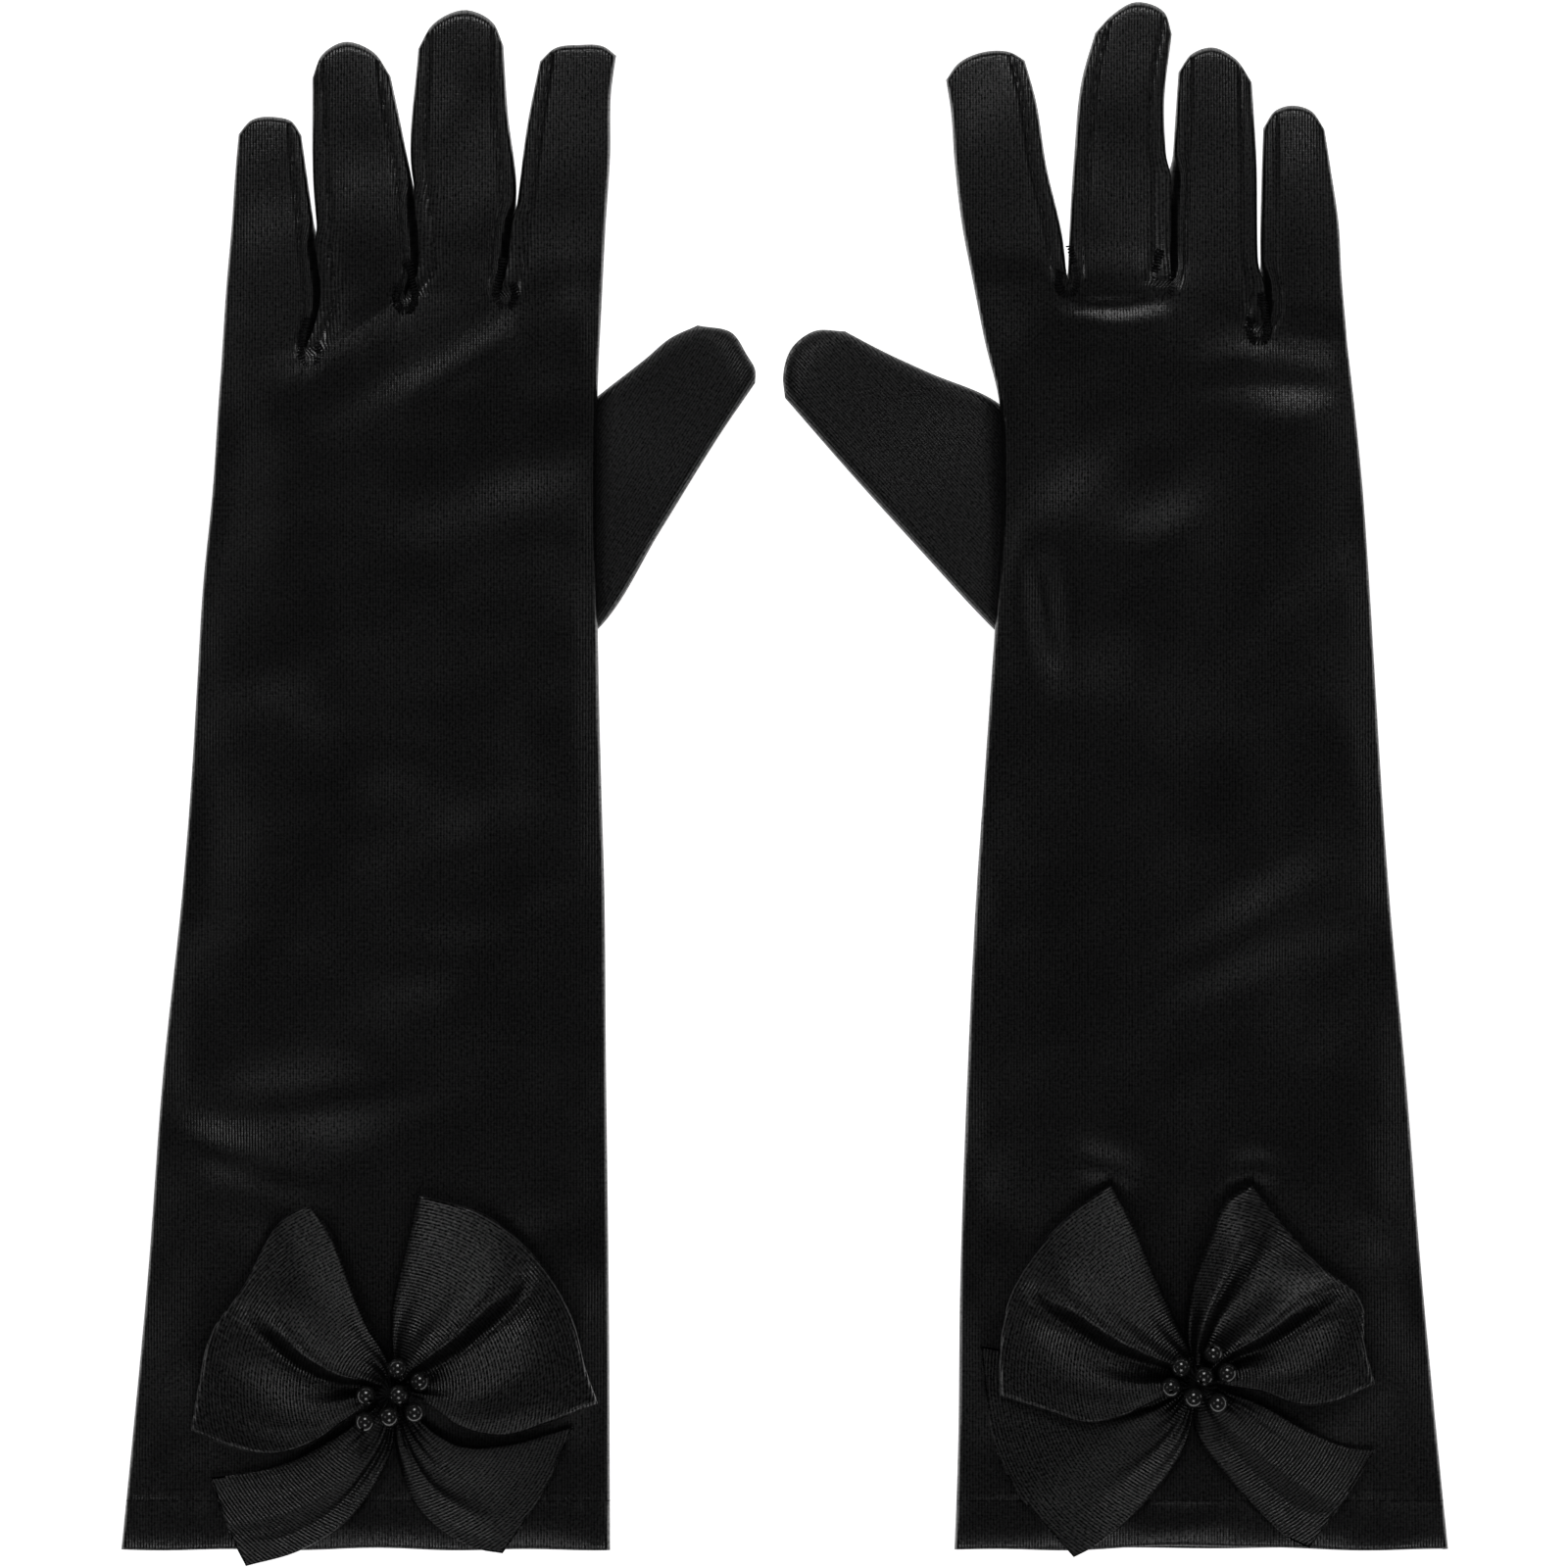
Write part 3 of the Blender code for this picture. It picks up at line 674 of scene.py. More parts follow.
class Glove:
    """One glove's shape, placed by its CAD nodes."""

    def __init__(self, label, shape, looks, joints):
        self.label = label
        self.shape = shape
        self.looks = looks
        self.side = shape["side"]
        low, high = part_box(f"{label}_sleeve_back")
        self.centre_x = (low.x + high.x) / 2 / MM
        self.cuff_y = low.y / MM
        self.top = high.z / MM
        self.mid = self.top * SIDE_LEVEL
        self.pivots = {joint["name"]: Vector(joint["pos_m"]) / MM for joint in joints if "pos_m" in joint}
        self.thumb_root = shape["thumb"]["a"][1][1], shape["thumb"]["b"][1][1]

    def world(self, across, along, height):
        """Millimetres in the pair's frame, from a glove's own across, along and height."""
        return np.stack([self.centre_x + self.side * across, self.cuff_y + along, height], -1)

    def panel(self, part, grids, look="satin", thickness=CLOTH):
        """A cloth piece that stands for the CAD node of the same name."""
        node = f"{self.label}_{part}"
        piece = cloth_piece(node + "_cloth", *grids, self.looks[look], thickness)
        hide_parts(node)
        return piece

    def bend(self, piece, from_body, to_body, start, end):
        """Bakes a piece's placement into its mesh, and does not bend it."""
        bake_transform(piece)

    # ------------------------------------------------------------ the sleeve and hand

    def hem(self, u, v):
        """The hem's stitch line near the cuff, with the small puckers that it draws."""
        line = -0.12 * bell(v - HEM_DEPTH, 0.8)
        cuff = (0.34 + 0.14 * np.sin(u * 0.23)) * np.exp(-v / 1.5)
        swell = 0.28 * bell(v - HEM_DEPTH * 0.45, 4.2)
        ripple = np.sin(u * 1.35 + 1.2 * np.sin(u * 0.31)) * (0.08 + 0.05 * np.sin(u * 0.17 + 1))
        reach = bell(v - HEM_DEPTH, 3.2) + 0.5 * bell(v, 3.0)
        return line - cuff + swell + ripple * reach

    def fork_dents(self, u, v):
        """The dent at each fork between two fingers, and the short gathers that fan out below it."""
        total = np.zeros(np.shape(u))
        for fork_u, fork_v in self.shape["base"][1:-1]:
            far = np.hypot((u - fork_u) / 2.3, (v - fork_v) / 3.6)
            total -= FORK_DENT * bell(far)
            angle = np.arctan2(u - fork_u, fork_v - v)
            reach = np.hypot(u - fork_u, v - fork_v)
            ripple = np.cos(angle * 9) * bell(reach, 5.0) * (v < fork_v + 1)
            total += FORK_GATHER * ripple
        return total

    def upper(self, u, v, near_side):
        """The height of the upper surface where it is level."""
        pillow = PILLOW * np.exp(-near_side / PILLOW_REACH)
        rise = folds(self.shape, u, v) * smooth((near_side + 1.5) / 7.0)
        return self.top - BACK_DROP - pillow + rise + self.hem(u, v) + self.fork_dents(u, v)

    def lower(self, v, near_thumb_side):
        """The height of the underside, which lies level and rises over the thumb's root."""
        low, high = self.thumb_root
        over = smooth((v - low + 8) / 10) * smooth((high + 6 - v) / 10)
        return FLOOR_GAP + ROOT_RISE * over * smooth((12 - near_thumb_side) / 8)

    def block_shares(self):
        """How far across the hand each fork and each side of it is, 0 to 1."""
        base = self.shape["base"]
        left, right = base[0][0], base[-1][0]
        return [(across - left) / (right - left) for across, _ in base]

    def row_of_body(self, start, climb):
        """One row of the sleeve or hand, from the little finger's side.

        It lies straight across at start, or a share, climb, of the way from there to the fingers.
        """
        shares = self.block_shares()
        forks = list(zip(shares, [along for _, along in self.shape["base"]]))

        def along_at(share):
            return start + (float(spline(forks, share)) - start) * climb

        left = float(spline(self.shape["outer"], along_at(0.0)))
        right = float(spline(self.shape["inner"], along_at(1.0)))
        inset = SLEEVE_EDGE * SIDE_IN
        walls = [left + SLEEVE_EDGE]
        walls += [left + share * (right - left) for share in shares[1:-1]]
        walls += [right - SLEEVE_EDGE]
        flat = [walls[0]]
        for wall, following in zip(walls, walls[1:]):
            flat += list(wall + (following - wall) * np.arange(1, BLOCK_COLUMNS + 1) / BLOCK_COLUMNS)
        u = np.concatenate([left + inset, flat, (right - inset)[::-1]])
        v = np.array([along_at(share) for share in (u - left) / (right - left)])
        return u, v, rounded_rise(len(flat)), u - left, right - u

    def body(self):
        """Grids of the upper and lower side of the sleeve and hand together."""
        count = int((HAND_START - HEM_ROWS[-1]) / ROW_STEP)
        sleeve = [*HEM_ROWS, *np.linspace(HEM_ROWS[-1], HAND_START, count + 1)[1:]]
        self.split_row = len(sleeve) - 1
        reach = max(along for _, along in self.shape["base"]) - HAND_START
        climbs = np.linspace(0, 1, int(reach / ROW_STEP) + 1)[1:]
        rows = [self.row_of_body(start, 0) for start in sleeve]
        rows += [self.row_of_body(HAND_START, climb) for climb in climbs]
        u, v, rise, from_left, from_right = (np.array(values) for values in zip(*rows))
        top = self.upper(u, v, np.minimum(from_left, from_right))
        low = self.lower(v, from_right)
        pinch = (1 - quarter(v / 0.8)) * 0.5 * rise
        lift = self.shape["edge_lift"] * bell(u, 16.0) * smooth((14 - v) / 14)
        wave = 0.16 * np.sin(u * 0.21 + self.side) * smooth((8 - v) / 8)
        self.body_uv = np.stack([u, v], -1)
        self.body_sides = (
            self.world(u, v + lift + wave, self.mid + (top - self.mid) * rise - pinch),
            self.world(u, v + wave * 0.5, self.mid - (self.mid - low) * rise + pinch),
        )
        self.body_normals = self.loop_normals(*self.body_sides)

    def loop_normals(self, top, low):
        """Outward normals of a flattened tube given as its upper and lower grids."""
        normal = ring_normals(np.concatenate([top, low[:, -2:0:-1]], axis=1)) * self.side
        columns = top.shape[1]
        lower = np.concatenate([normal[:, :1], normal[:, : columns - 2 : -1]], axis=1)
        return normal[:, :columns], lower

    def body_pieces(self):
        """The sleeve and the hand, each a back and a palm panel."""
        thick = HEM_CLOTH + (CLOTH - HEM_CLOTH) * smooth((self.body_uv[..., 1] - HEM_DEPTH) / 1.2)
        wrist = self.pivots[f"{self.label}_wrist"].y
        parts = (("sleeve", slice(0, self.split_row + 1)), ("hand", slice(self.split_row, None)))
        for part, rows in parts:
            for kind, points, normals in zip(("back", "palm"), self.body_sides, self.body_normals):
                grids = (points[rows], normals[rows], self.body_uv[rows])
                piece = self.panel(f"{part}_{kind}", grids, thickness=thick[rows])
                if part == "sleeve":
                    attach(piece, f"{self.label}_sleeve")
                else:
                    start, end = (0, wrist - WRIST_BEND, 0), (0, wrist + WRIST_BEND, 0)
                    self.bend(piece, "sleeve", "hand", start, end)

    def hem_stitches(self):
        """The row of stitches that holds the cuff's hem, sunk in its line."""
        row = int(np.argmin(abs(self.body_uv[: self.split_row, 0, 1] - HEM_DEPTH)))
        routes = stitch_routes(self.body_sides[0][row], *HEM_STITCHES)
        piece = thread(f"{self.label}_hem_stitches", routes, 0.12, self.looks["thread"])
        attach(piece, f"{self.label}_sleeve")

    # ------------------------------------------------------------ the fingers

    def finger_row(self, width, opened, eased, outer_sides):
        """Shares across a row of a finger, closer together at its rounded sides and its seams."""
        walls, insets = [], []
        for outer in outer_sides:
            radius = SLEEVE_EDGE + (FINGER_EDGE - SLEEVE_EDGE) * eased if outer else FINGER_EDGE
            radius = min(radius, width * WIDEST_EDGE)
            ramp = 1.0 if outer else opened
            walls.append(radius * SIDE_IN * ramp / width)
            insets.append(radius * ramp / width)
        start, end = insets[0], 1 - insets[1]
        seam, half = SEAM_INSET / width, SEAM_HALF / width
        near_start = [start, (start + seam - half) / 2, seam - half, seam]
        between = np.linspace(seam + half, 1 - seam - half, BLOCK_COLUMNS - 7)
        near_end = [1 - seam, 1 - seam + half, (1 - seam + half + end) / 2, end]
        even = start + (end - start) * np.linspace(0, 1, BLOCK_COLUMNS + 1)
        flat = even + (np.concatenate([near_start, between, near_end]) - even) * opened
        return np.concatenate([walls[0], flat, (1 - walls[1])[::-1]])

    def finger_rows(self, number):
        """A finger's plan, row by row from the hand's last row, with what its heights depend on."""
        shape = self.shape["fingers"][FINGERS[number]]
        forks = self.shape["base"][number], self.shape["base"][number + 1]
        outer_sides = number == 0, number == len(FINGERS) - 1
        share = 1 - (1 - np.linspace(0, 1, FINGER_ROWS)) ** 1.35
        sides = [curve((fork, *shape[side]), share) for fork, side in zip(forks, "ab")]
        full_length = np.hypot(*(np.array(shape["a"][-1]) - forks[0]))
        first = WALL_COLUMNS + number * BLOCK_COLUMNS
        last = first + BLOCK_COLUMNS
        on_hand = np.arange(first - WALL_COLUMNS, last + WALL_COLUMNS + 1)
        on_hand = np.clip(on_hand, 0 if outer_sides[0] else first, None if outer_sides[1] else last)
        rows = []
        for t, a, b in zip(share, *sides):
            width = np.hypot(*(b - a))
            opened = float(smooth(t * full_length / FORK_OPENS))
            eased = float(smooth(t * full_length / EDGE_EASES))
            s = self.finger_row(width, opened, eased, outer_sides)
            line = a + (b - a) * s[:, None]
            # The first row is the hand's own, and the last is the fingertip's outline.
            if t == 0:
                shift = self.body_uv[-1, on_hand] - line
            line = line + shift * (1 - smooth(t / HAND_SHARE)) + tip_bulge(shape, s) * t**7
            left = (1 - t) * full_length
            closing = quarter(left / 0.8)
            groove = np.zeros(len(s))
            for outer, column in zip(outer_sides, (SEAM_COLUMN, -1 - SEAM_COLUMN)):
                if not outer:
                    groove[column] = opened
            rise = rounded_rise(BLOCK_COLUMNS + 1) * closing
            near = np.minimum(s, 1 - s) * width
            rows.append((line[:, 0], line[:, 1], rise, groove * closing, near, [left]))
        return [np.array(values) for values in zip(*rows)]

    def finger(self, number):
        """A finger's upper and lower grids, their normals and the cloth's own coordinates."""
        u, v, rise, groove, near, left = self.finger_rows(number)
        outer_near = np.full(u.shape, 99.0)
        if number == 0:
            outer_near = u - u[:, :1]
        root = 0
        blend = smooth(np.linspace(0, FINGER_ROWS / 7, FINGER_ROWS))[:, None]
        if number == len(FINGERS) - 1:
            outer_near = np.minimum(outer_near, u[:, -1:] - u)
            root = (self.lower(v, outer_near) - FLOOR_GAP) * (1 - blend)
        along = np.linspace(0, 1, FINGER_ROWS)[:, None]
        on_body = self.upper(u, v, outer_near)
        creases = folds(self.shape, u, v) * 0.4 * smooth((near + 1) / 5)
        on_finger = self.top - FINGER_DROP - FINGER_SLOPE * along + creases
        crown = 0.5 * (1 - (1 - np.clip(near / 8.0, 0, 1)) ** 2)
        tip_slope = 0.3 * np.exp(-left / 7.0)
        high = on_body + (on_finger + crown - tip_slope - on_body) * blend
        high = high - SEAM_DEPTH * groove
        low = FLOOR_GAP + root + SEAM_DEPTH * groove
        mid = self.mid * (1 - 0.5 * smooth(along * 1.3))
        high = mid + (high - mid) * rise
        low = mid - (mid - low) * rise
        lean = self.lean(number, u, v)
        sides = [self.world(u + lean * (height - mid), v, height) for height in (high, low)]
        self.join_hand(number, sides, self.body_sides)
        normals = self.loop_normals(*sides)
        self.join_hand(number, normals, self.body_normals)
        return sides, normals, np.stack([u, v], -1)

    def join_hand(self, number, grids, hand_grids):
        """Copies the part of the hand's last row where a finger starts to the finger's first row."""
        first = WALL_COLUMNS + number * BLOCK_COLUMNS
        for grid, hand in zip(grids, hand_grids):
            grid[0, WALL_COLUMNS:-WALL_COLUMNS] = hand[-1, first : first + BLOCK_COLUMNS + 1]

    def lean(self, number, u, v):
        """How far neighbouring fingers' touching sides lean, so that no light shows between them."""
        total = np.zeros(u.shape)
        for fork in (number, number + 1):
            if fork in (0, len(FINGERS)):
                continue
            start = self.shape["base"][fork][1]
            end = self.shape["gaps"][fork - 1]
            along = smooth((v - start) / 2.0) * smooth((end + 2.0 - v) / 6.0)
            side = u[:, :1] if fork == number else u[:, -1:]
            total += LEAN * along * bell(u - side, 3.0)
        return total

    def bend_finger(self, piece, number):
        base = self.shape["base"]
        fork = max(base[number][1], base[number + 1][1]) + self.cuff_y
        self.bend(piece, "hand", FINGERS[number], (0, fork, 0), (0, fork + FINGER_BEND, 0))

    def finger_pieces(self, number):
        """A finger's back, palm, fourchettes and seam stitches."""
        name = FINGERS[number]
        (top, low), (top_n, low_n), uv = self.finger(number)
        first = 0 if name == "little" else SEAM_COLUMN
        last = top.shape[1] - 1 - (0 if name == "index" else SEAM_COLUMN)
        panel = slice(first, last + 1)
        pieces = []
        for kind, points, normals in (("back", top, top_n), ("palm", low, low_n)):
            grids = (points[:, panel], normals[:, panel], uv[:, panel])
            pieces.append(self.panel(f"{name}_{kind}", grids))
        around = (
            ("little", first > 0, slice(first, None, -1), slice(1, first + 1)),
            ("thumb", last < top.shape[1] - 1, slice(last, -1), slice(None, last - 1, -1)),
        )
        seams = []
        for (toward, present, upper, lower), column in zip(around, (first, last)):
            if not present:
                continue
            grids = []
            for above, below in ((top, low), (top_n, low_n), (uv, uv)):
                grids.append(np.concatenate([above[:, upper], below[:, lower]], axis=1))
            pieces.append(self.panel(f"{name}_fourchette_{toward}_side", grids))
            seams += stitch_routes(top[:, column], *SEAM_STITCHES)
        pieces.append(thread(f"{self.label}_{name}_seam_stitches", seams, 0.11, self.looks["thread"]))
        for piece in pieces:
            self.bend_finger(piece, number)

    def overlock(self, number):
        """The wound thread that binds the bottom of a fork and the foot of its cleft."""
        fork_u, fork_v = self.shape["base"][number]
        loose = np.random.default_rng(31 * number + self.side)
        way = 1 if number == 2 else -1
        bound = [(fork_u + across * way, fork_v + along) for across, along in OVERLOCK_ROUTE]
        route = curve(bound, np.linspace(0, 1, OVERLOCK_POINTS))
        ahead = np.gradient(route, axis=0)
        ahead /= np.linalg.norm(ahead, axis=1, keepdims=True)
        turns = np.linspace(0, 2 * np.pi * OVERLOCK_TURNS, OVERLOCK_POINTS)
        knots = loose.uniform(0.6, 1.15, OVERLOCK_TURNS + 1)
        places = np.linspace(0, OVERLOCK_TURNS, OVERLOCK_POINTS)
        uneven = np.interp(places, range(OVERLOCK_TURNS + 1), knots)
        wrap = OVERLOCK_RADIUS * uneven
        u = route[:, 0] - ahead[:, 1] * wrap * np.cos(turns)
        v = route[:, 1] + ahead[:, 0] * wrap * np.cos(turns)
        height = self.top - 1.95 + wrap * np.sin(turns) + 0.25 * (uneven - 0.9)
        name = f"{self.label}_fork_overlock_{number}"
        piece = thread(name, [self.world(u, v, height)], 0.19, self.looks["thread"])
        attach(piece, f"{self.label}_hand")

    # ------------------------------------------------------------ the thumb

    def thumb(self):
        """The thumb: one folded piece, tucked under the hand's edge, closed round its tip."""
        shape = self.shape["thumb"]
        share = 1 - (1 - np.linspace(0, 1, THUMB_ROWS)) ** 1.3
        a_side, b_side = curve(shape["a"], share), curve(shape["b"], share)
        columns = np.linspace(0, 1, THUMB_COLUMNS)
        s = (columns + (0.5 - 0.5 * np.cos(np.pi * columns))) / 2
        line = a_side[:, None] + (b_side - a_side)[:, None] * s[None, :, None]
        line = line + tip_bulge(shape, s)[None] * (share**6)[:, None, None]
        u, v = line[..., 0], line[..., 1]
        near = np.minimum(s, 1 - s)[None] * np.linalg.norm(b_side - a_side, axis=1)[:, None]
        length = np.linalg.norm(np.array(shape["a"][-1]) - shape["a"][0])
        rise = quarter(near / 2.8) * quarter((1 - share) * length / 5.0)[:, None]
        past_edge = smooth((u - shape["b"][1][0] + 3.5) / 6.0)
        creases = np.sin(v * 0.16 + u * 0.09) * 0.22 + np.sin(u * 0.21 - v * 0.12 + 1) * 0.18
        high = THUMB_ROOT_HIGH + (THUMB_HIGH - THUMB_ROOT_HIGH) * past_edge
        high = high + creases * smooth(near / 6) * past_edge
        mid = high * 0.45
        top = self.world(u, v, mid + (high - mid) * rise)
        low = self.world(u, v, mid - (mid - FLOOR_GAP) * rise)
        # The thumb's rows run across the glove, so its normals come out the other way round.
        top_n, low_n = (-normal for normal in self.loop_normals(top, low))
        way = np.array(shape["a"][3]) - np.array(shape["a"][1])
        way = way / np.linalg.norm(way)
        uv = np.stack([u * way[1] - v * way[0], u * way[0] + v * way[1]], -1)
        folded = ((top, low), (top_n, low_n), (uv, uv))
        grids = [np.concatenate([above, below[:, -2::-1]], axis=1) for above, below in folded]
        piece = self.panel("thumb", grids, "thumb")
        pivot = self.pivots[f"{self.label}_thumb_fold"].x
        start, end = (pivot - self.side * 1.0, 0, 0), (pivot + self.side * THUMB_BEND, 0, 0)
        self.bend(piece, "hand", "thumb", start, end)

    # ------------------------------------------------------------ the bow

    def lobe_rise(self, shape, puff, seed, t, s, out):
        """A lobe's height: its puff, pleats, tucks and gathers, t outwards and s across, 0 to 1."""
        rise = puff * spline(LOBE_PROFILE, out) * (0.7 + 0.3 * np.sin(np.pi * s) ** 0.6)
        for middle, wide, height in shape["pleats"]:
            lean = middle + (0.5 - middle) * 0.35 * (1 - t) ** 2
            spread = wide * (0.75 + 0.5 * t)
            along = np.sin(np.pi * np.clip(t * 0.86 + 0.12, 0, 1)) ** 0.6
            rise = rise + height * along * np.exp(-np.abs((s - lean) / spread) ** 1.7)
        for crest, way, height, depth in shape.get("tucks", ()):
            bend = 0.03 * np.sin(3.5 * t + seed)
            lean = crest + bend + (0.5 - crest) * 0.3 * (1 - t) ** 2
            past = (s - lean) * way
            drop = 1 - bell(np.maximum(past, 0), 0.055 + 0.02 * t**2)
            hump = np.where(past < 0, bell(past, 0.12), 1 - drop)
            hollow = np.where(past < 0, 0, drop * bell(np.maximum(past, 0), 0.27))
            along = smooth(t / 0.16) * smooth((1.04 - t) / 0.34)
            rise = rise + along * (height * hump - depth * hollow)
        wrinkles = np.random.default_rng(seed)
        for _ in range(5):
            count = wrinkles.uniform(3, 8)
            phase = wrinkles.uniform(0, 6.28)
            rise = rise + 0.22 * np.exp(-t / 0.3) * np.sin(np.pi * count * 2 * s + phase)
            rise = rise + 0.07 * np.sin(np.pi * count * s + phase + 3 * t)
        return np.maximum(rise, LOBE_LEAST)

    def lobe(self, shape, under, puff, rim_width, seed):
        """One lobe of a bow strip: upper and lower grids from the gathered middle to the rim."""
        t = 1 - (1 - np.linspace(0, 1, BOW_ROWS)) ** 1.7
        s = np.linspace(0, 1, BOW_COLUMNS)
        s = (s + 0.5 - 0.5 * np.cos(np.pi * s)) / 2
        a_side, b_side = (curve(((0, 0), *shape[side]), t) for side in "ab")
        rim = curve((shape["a"][-1], *shape["rim"], shape["b"][-1]), s)
        chord = rim[0] + (rim[-1] - rim[0]) * s[:, None]
        line = a_side[:, None] + (b_side - a_side)[:, None] * s[None, :, None]
        line = line + (rim - chord)[None] * (t**2.2)[:, None, None]
        radius = np.hypot(line[..., 0], line[..., 1])
        reach = np.linalg.norm(rim, axis=1)[None]
        side = np.minimum(s, 1 - s)[None] * np.linalg.norm(b_side - a_side, axis=1)[:, None]
        edge = quarter(side / 0.9) * quarter((reach - radius) / rim_width)
        out = np.clip(radius / reach, 0, 1)
        rise = self.lobe_rise(shape, puff, seed, t[:, None], s[None], out)
        gathered = BOW_PINCH + (1 - BOW_PINCH) * smooth(t / 0.22)[:, None]
        base = self.top - 1.2 + under
        top = base + LOBE_LEAST + (rise - LOBE_LEAST) * gathered * edge
        low = base + LOBE_LEAST - 0.85 * edge
        near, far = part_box(f"{self.label}_bow_gather")
        centre = np.array([(near.x + far.x) / 2, (near.y + far.y) / 2]) / MM
        place = centre + line
        upper = np.concatenate([place, top[..., None]], -1)
        lower = np.concatenate([place, low[..., None]], -1)
        return upper, lower, np.stack([radius, np.broadcast_to(s * 50, radius.shape)], -1)

    def bow_strip(self, kind, under, puff, rim_width):
        """A strip's two lobes, each a closed fold of cloth."""

        def closed(above, below):
            return np.concatenate([above, below[:, -2:0:-1], above[:, :1]], axis=1)

        on = [f"{self.label}_sleeve_back_cloth"]
        for number, shape in enumerate(self.shape[kind]):
            seed = self.shape["bow_seed"] + number
            upper, lower, arc = self.lobe(shape, under, puff, rim_width, seed)
            loop = closed(upper, lower)
            normal = ring_normals(loop[:, :-1])
            if normal[BOW_ROWS // 2, BOW_COLUMNS // 2, 2] < 0:
                normal = -normal
            normal = np.concatenate([normal, normal[:, :1]], axis=1)
            name = f"{self.label}_bow_{kind}_{number}"
            look = self.looks["bow"]
            part = cloth_piece(name, loop, normal, closed(arc, arc), look, BOW_CLOTH, "gathered", on)
            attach(part, f"{self.label}_sleeve")
        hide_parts(f"{self.label}_bow_{kind}")

    def bead(self, number):
        """A round bead with a thread hole."""
        node = f"{self.label}_bead_{number}"
        low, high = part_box(node)
        radius = (high.x - low.x) / 2 / MM
        centre = (low + high) / 2 / MM
        limit = math.acos(BEAD_HOLE / radius)
        angles = np.linspace(limit, -limit, BEAD_ARC_POINTS)
        ring = np.concatenate([radius * np.cos(angles), [BEAD_HOLE, BEAD_HOLE]])
        mouth = radius * math.sin(limit)
        level = np.concatenate([radius * np.sin(angles), [-mouth * 0.3, mouth * 0.3]])
        around = np.linspace(0, 2 * np.pi, BEAD_SIDES + 1)[:-1]
        grid = [np.outer(ring, np.cos(around)), np.outer(ring, np.sin(around))]
        grid.append(np.outer(level, np.ones(BEAD_SIDES)))
        tilt = np.random.default_rng(number * 7 + self.side)
        turn = Vector(tilt.normal(0, 1, 3)).normalized()
        matrix = Vector((0, 0, 1)).rotation_difference(turn).to_matrix()
        points = np.stack(grid, -1).reshape(-1, 3) @ np.array(matrix).T + np.array(centre)
        index = np.arange(len(points)).reshape(len(ring), BEAD_SIDES)
        below = np.roll(index, -1, 0)
        faces = np.stack([index, below, np.roll(below, -1, 1), np.roll(index, -1, 1)], -1)
        mesh = bpy.data.meshes.new(node + "_gloss")
        mesh.from_pydata((points * MM).tolist(), [], faces.reshape(-1, 4).tolist())
        mesh.shade_smooth()
        mesh.set_sharp_from_angle(angle=math.radians(45))
        piece = add_piece(node + "_gloss", mesh, self.looks["bead"])
        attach(piece, f"{self.label}_sleeve")
        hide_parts(node)

    def gather(self):
        """Thread wound round the bow's middle, under the beads."""
        node = f"{self.label}_bow_gather"
        low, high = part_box(node)
        centre = (low + high) / 2 / MM
        swing = np.linspace(-1, 1, 25)
        out = 3.6 * np.sin(swing * 1.45)
        lift = 1.5 * np.cos(swing * 1.45) - 0.5
        routes = []
        for turn in range(GATHER_TURNS):
            angle = math.radians(180 / GATHER_TURNS * turn)
            across = 0.18 * (turn - GATHER_TURNS // 2) * (1 - swing**2)
            x = centre.x + out * math.cos(angle) - across * math.sin(angle)
            y = centre.y + out * math.sin(angle) + across * math.cos(angle)
            routes.append(np.stack([x, y, centre.z - 1.2 + lift], -1))
        piece = thread(node + "_thread", routes, 0.32, self.looks["thread"], resolution=2)
        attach(piece, f"{self.label}_sleeve")
        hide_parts(node)

    def build(self):
        self.body()
        self.body_pieces()
        for number in range(len(FINGERS)):
            self.finger_pieces(number)
        self.thumb()
        for number in range(1, len(FINGERS)):
            self.overlock(number)
        self.hem_stitches()
        self.bow_strip("tails", TAILS_UNDER, TAIL_PUFF, TAIL_RIM)
        self.bow_strip("loops", LOOPS_UNDER, LOOP_PUFF, LOOP_RIM)
        self.gather()
        for number in range(1, BEADS + 1):
            self.bead(number)


# ---------------------------------------------------------------- studio


def softbox(name, x, y, power):
    """A rectangular light that points at the middle of the pair."""
    data = bpy.data.lights.new(name, "AREA")
    data.shape = "RECTANGLE"
    data.size, data.size_y = SOFTBOX_SIZE
    data.energy = power
    light = add_object(name, data)
    light.location = (x, y, SOFTBOX_HEIGHT)
    light.rotation_euler = (-light.location).to_track_quat("-Z", "Y").to_euler()


def backdrop(name, points, faces, look):
    """A surface that isn't part of the gloves."""
    mesh = bpy.data.meshes.new(name)
    mesh.from_pydata(points, [], faces)
    made = add_object(name, mesh, look)
    return made


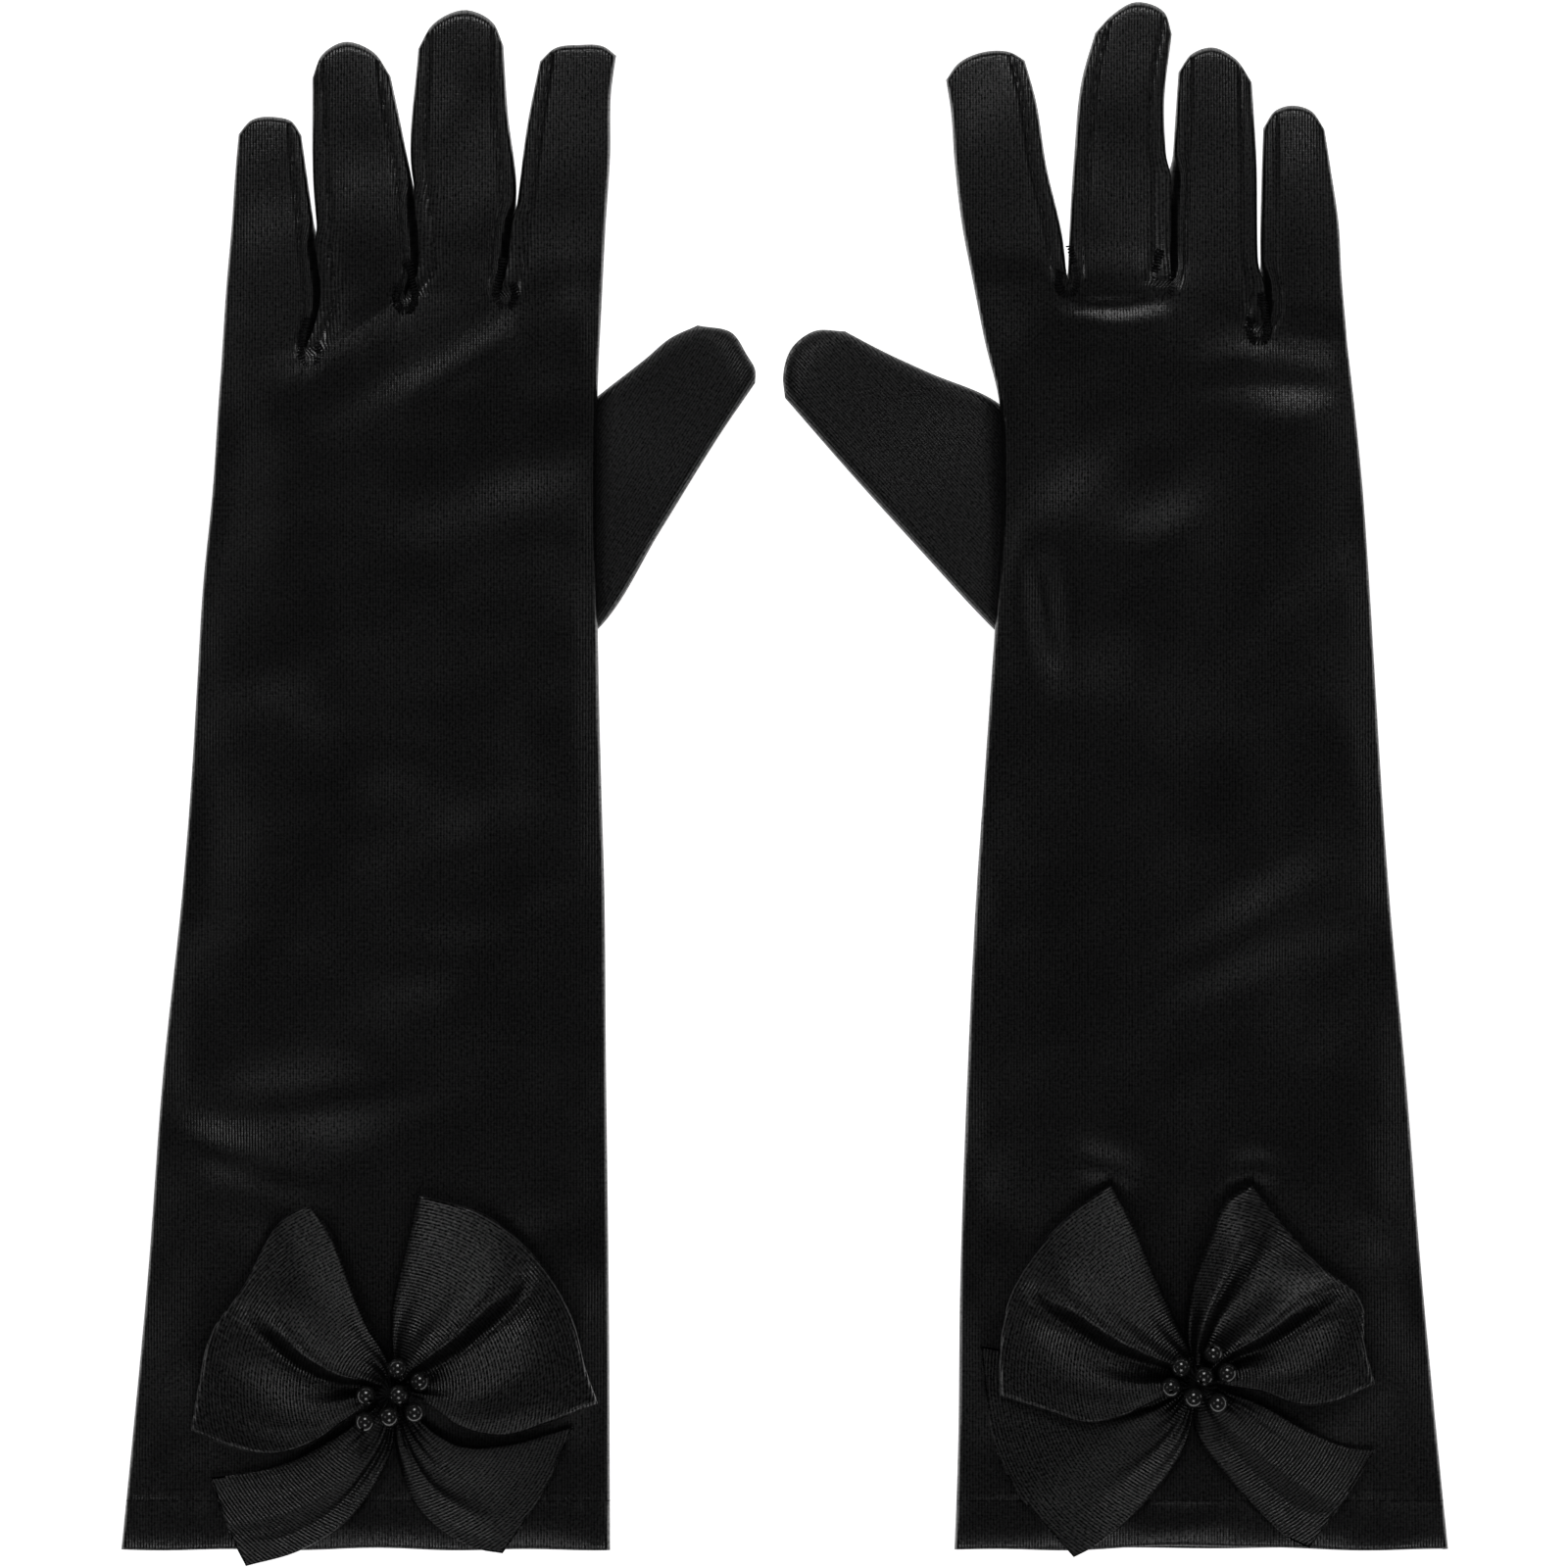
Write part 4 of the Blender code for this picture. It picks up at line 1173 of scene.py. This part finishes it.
def studio():
    """A white room with four soft lights, seen from straight above."""
    scene = bpy.context.scene
    scene.view_settings.view_transform = "Standard"
    scene.view_settings.look = "None"
    world = bpy.data.worlds.new("studio")
    scene.world = world
    world.use_nodes = True
    background = world.node_tree.nodes["Background"].inputs
    background["Color"].default_value = (1, 1, 1, 1)
    background["Strength"].default_value = 0.02
    for name, x, y, power in SOFTBOXES:
        softbox(name, x, y, power)

    corners = [(x * FLOOR_HALF, y * FLOOR_HALF, FLOOR_Z) for x, y in ((-1, -1), (1, -1), (1, 1), (-1, 1))]
    backdrop("floor", corners, [(0, 1, 2, 3)], glowing("floor", 0.9, 0.9))

    # A white wall all round keeps every view on white.
    ring = [2 * math.pi * k / WALL_SIDES for k in range(WALL_SIDES)]
    points = [(WALL_RADIUS * math.cos(a), WALL_RADIUS * math.sin(a), z) for z in WALL_LEVELS for a in ring]
    faces = []
    for level in range(len(WALL_LEVELS) - 1):
        low, high = level * WALL_SIDES, (level + 1) * WALL_SIDES
        for k in range(WALL_SIDES):
            following = (k + 1) % WALL_SIDES
            faces.append((low + k, low + following, high + following, high + k))
    wall = backdrop("wall", points, faces, glowing("wall", 0.0, 0.5))
    wall.visible_glossy = False
    wall.visible_diffuse = False
    wall.visible_shadow = False

    camera_data = bpy.data.cameras.new("camera")
    camera_data.sensor_width = SENSOR
    camera_data.lens = SENSOR * CAMERA_HEIGHT / VIEW_WIDTH
    camera_data.clip_start = 0.1
    camera = add_object("camera", camera_data)
    camera.location = (0.0001, -0.0002, CAMERA_HEIGHT)
    scene.camera = camera


for startup in list(bpy.data.objects):
    bpy.data.objects.remove(startup)
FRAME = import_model()
studio()
# Each look is a material and the record's slot that it belongs to.
LOOKS = {
    "satin": (satin("glove_satin", (0.0028, 0.0028, 0.003), 0.31, 0.6, 0.02, 0.03, 0.9, 0.5), "satin"),
    "thumb": (satin("thumb_satin", (0.003, 0.003, 0.0033), 0.47, 0.55, 0.03, 0.04, 1.0, 0.36), "satin"),
    "bow": (satin("bow_satin", (0.003, 0.003, 0.0032), 0.32, 0.66, 0.05, 0.03, 1.45, 0.46), "bow_satin"),
    "thread": (plain("thread", (0.005, 0.005, 0.0055), 0.7, specular=0.14, grain=0.05), "thread"),
    "bead": (plain("bead_gloss", (0.012, 0.012, 0.012), 0.20, coat=0.5), "bead"),
}
for side_name, outline in (("left", LEFT), ("right", RIGHT)):
    Glove(side_name, outline, LOOKS, FRAME["joints"]).build()
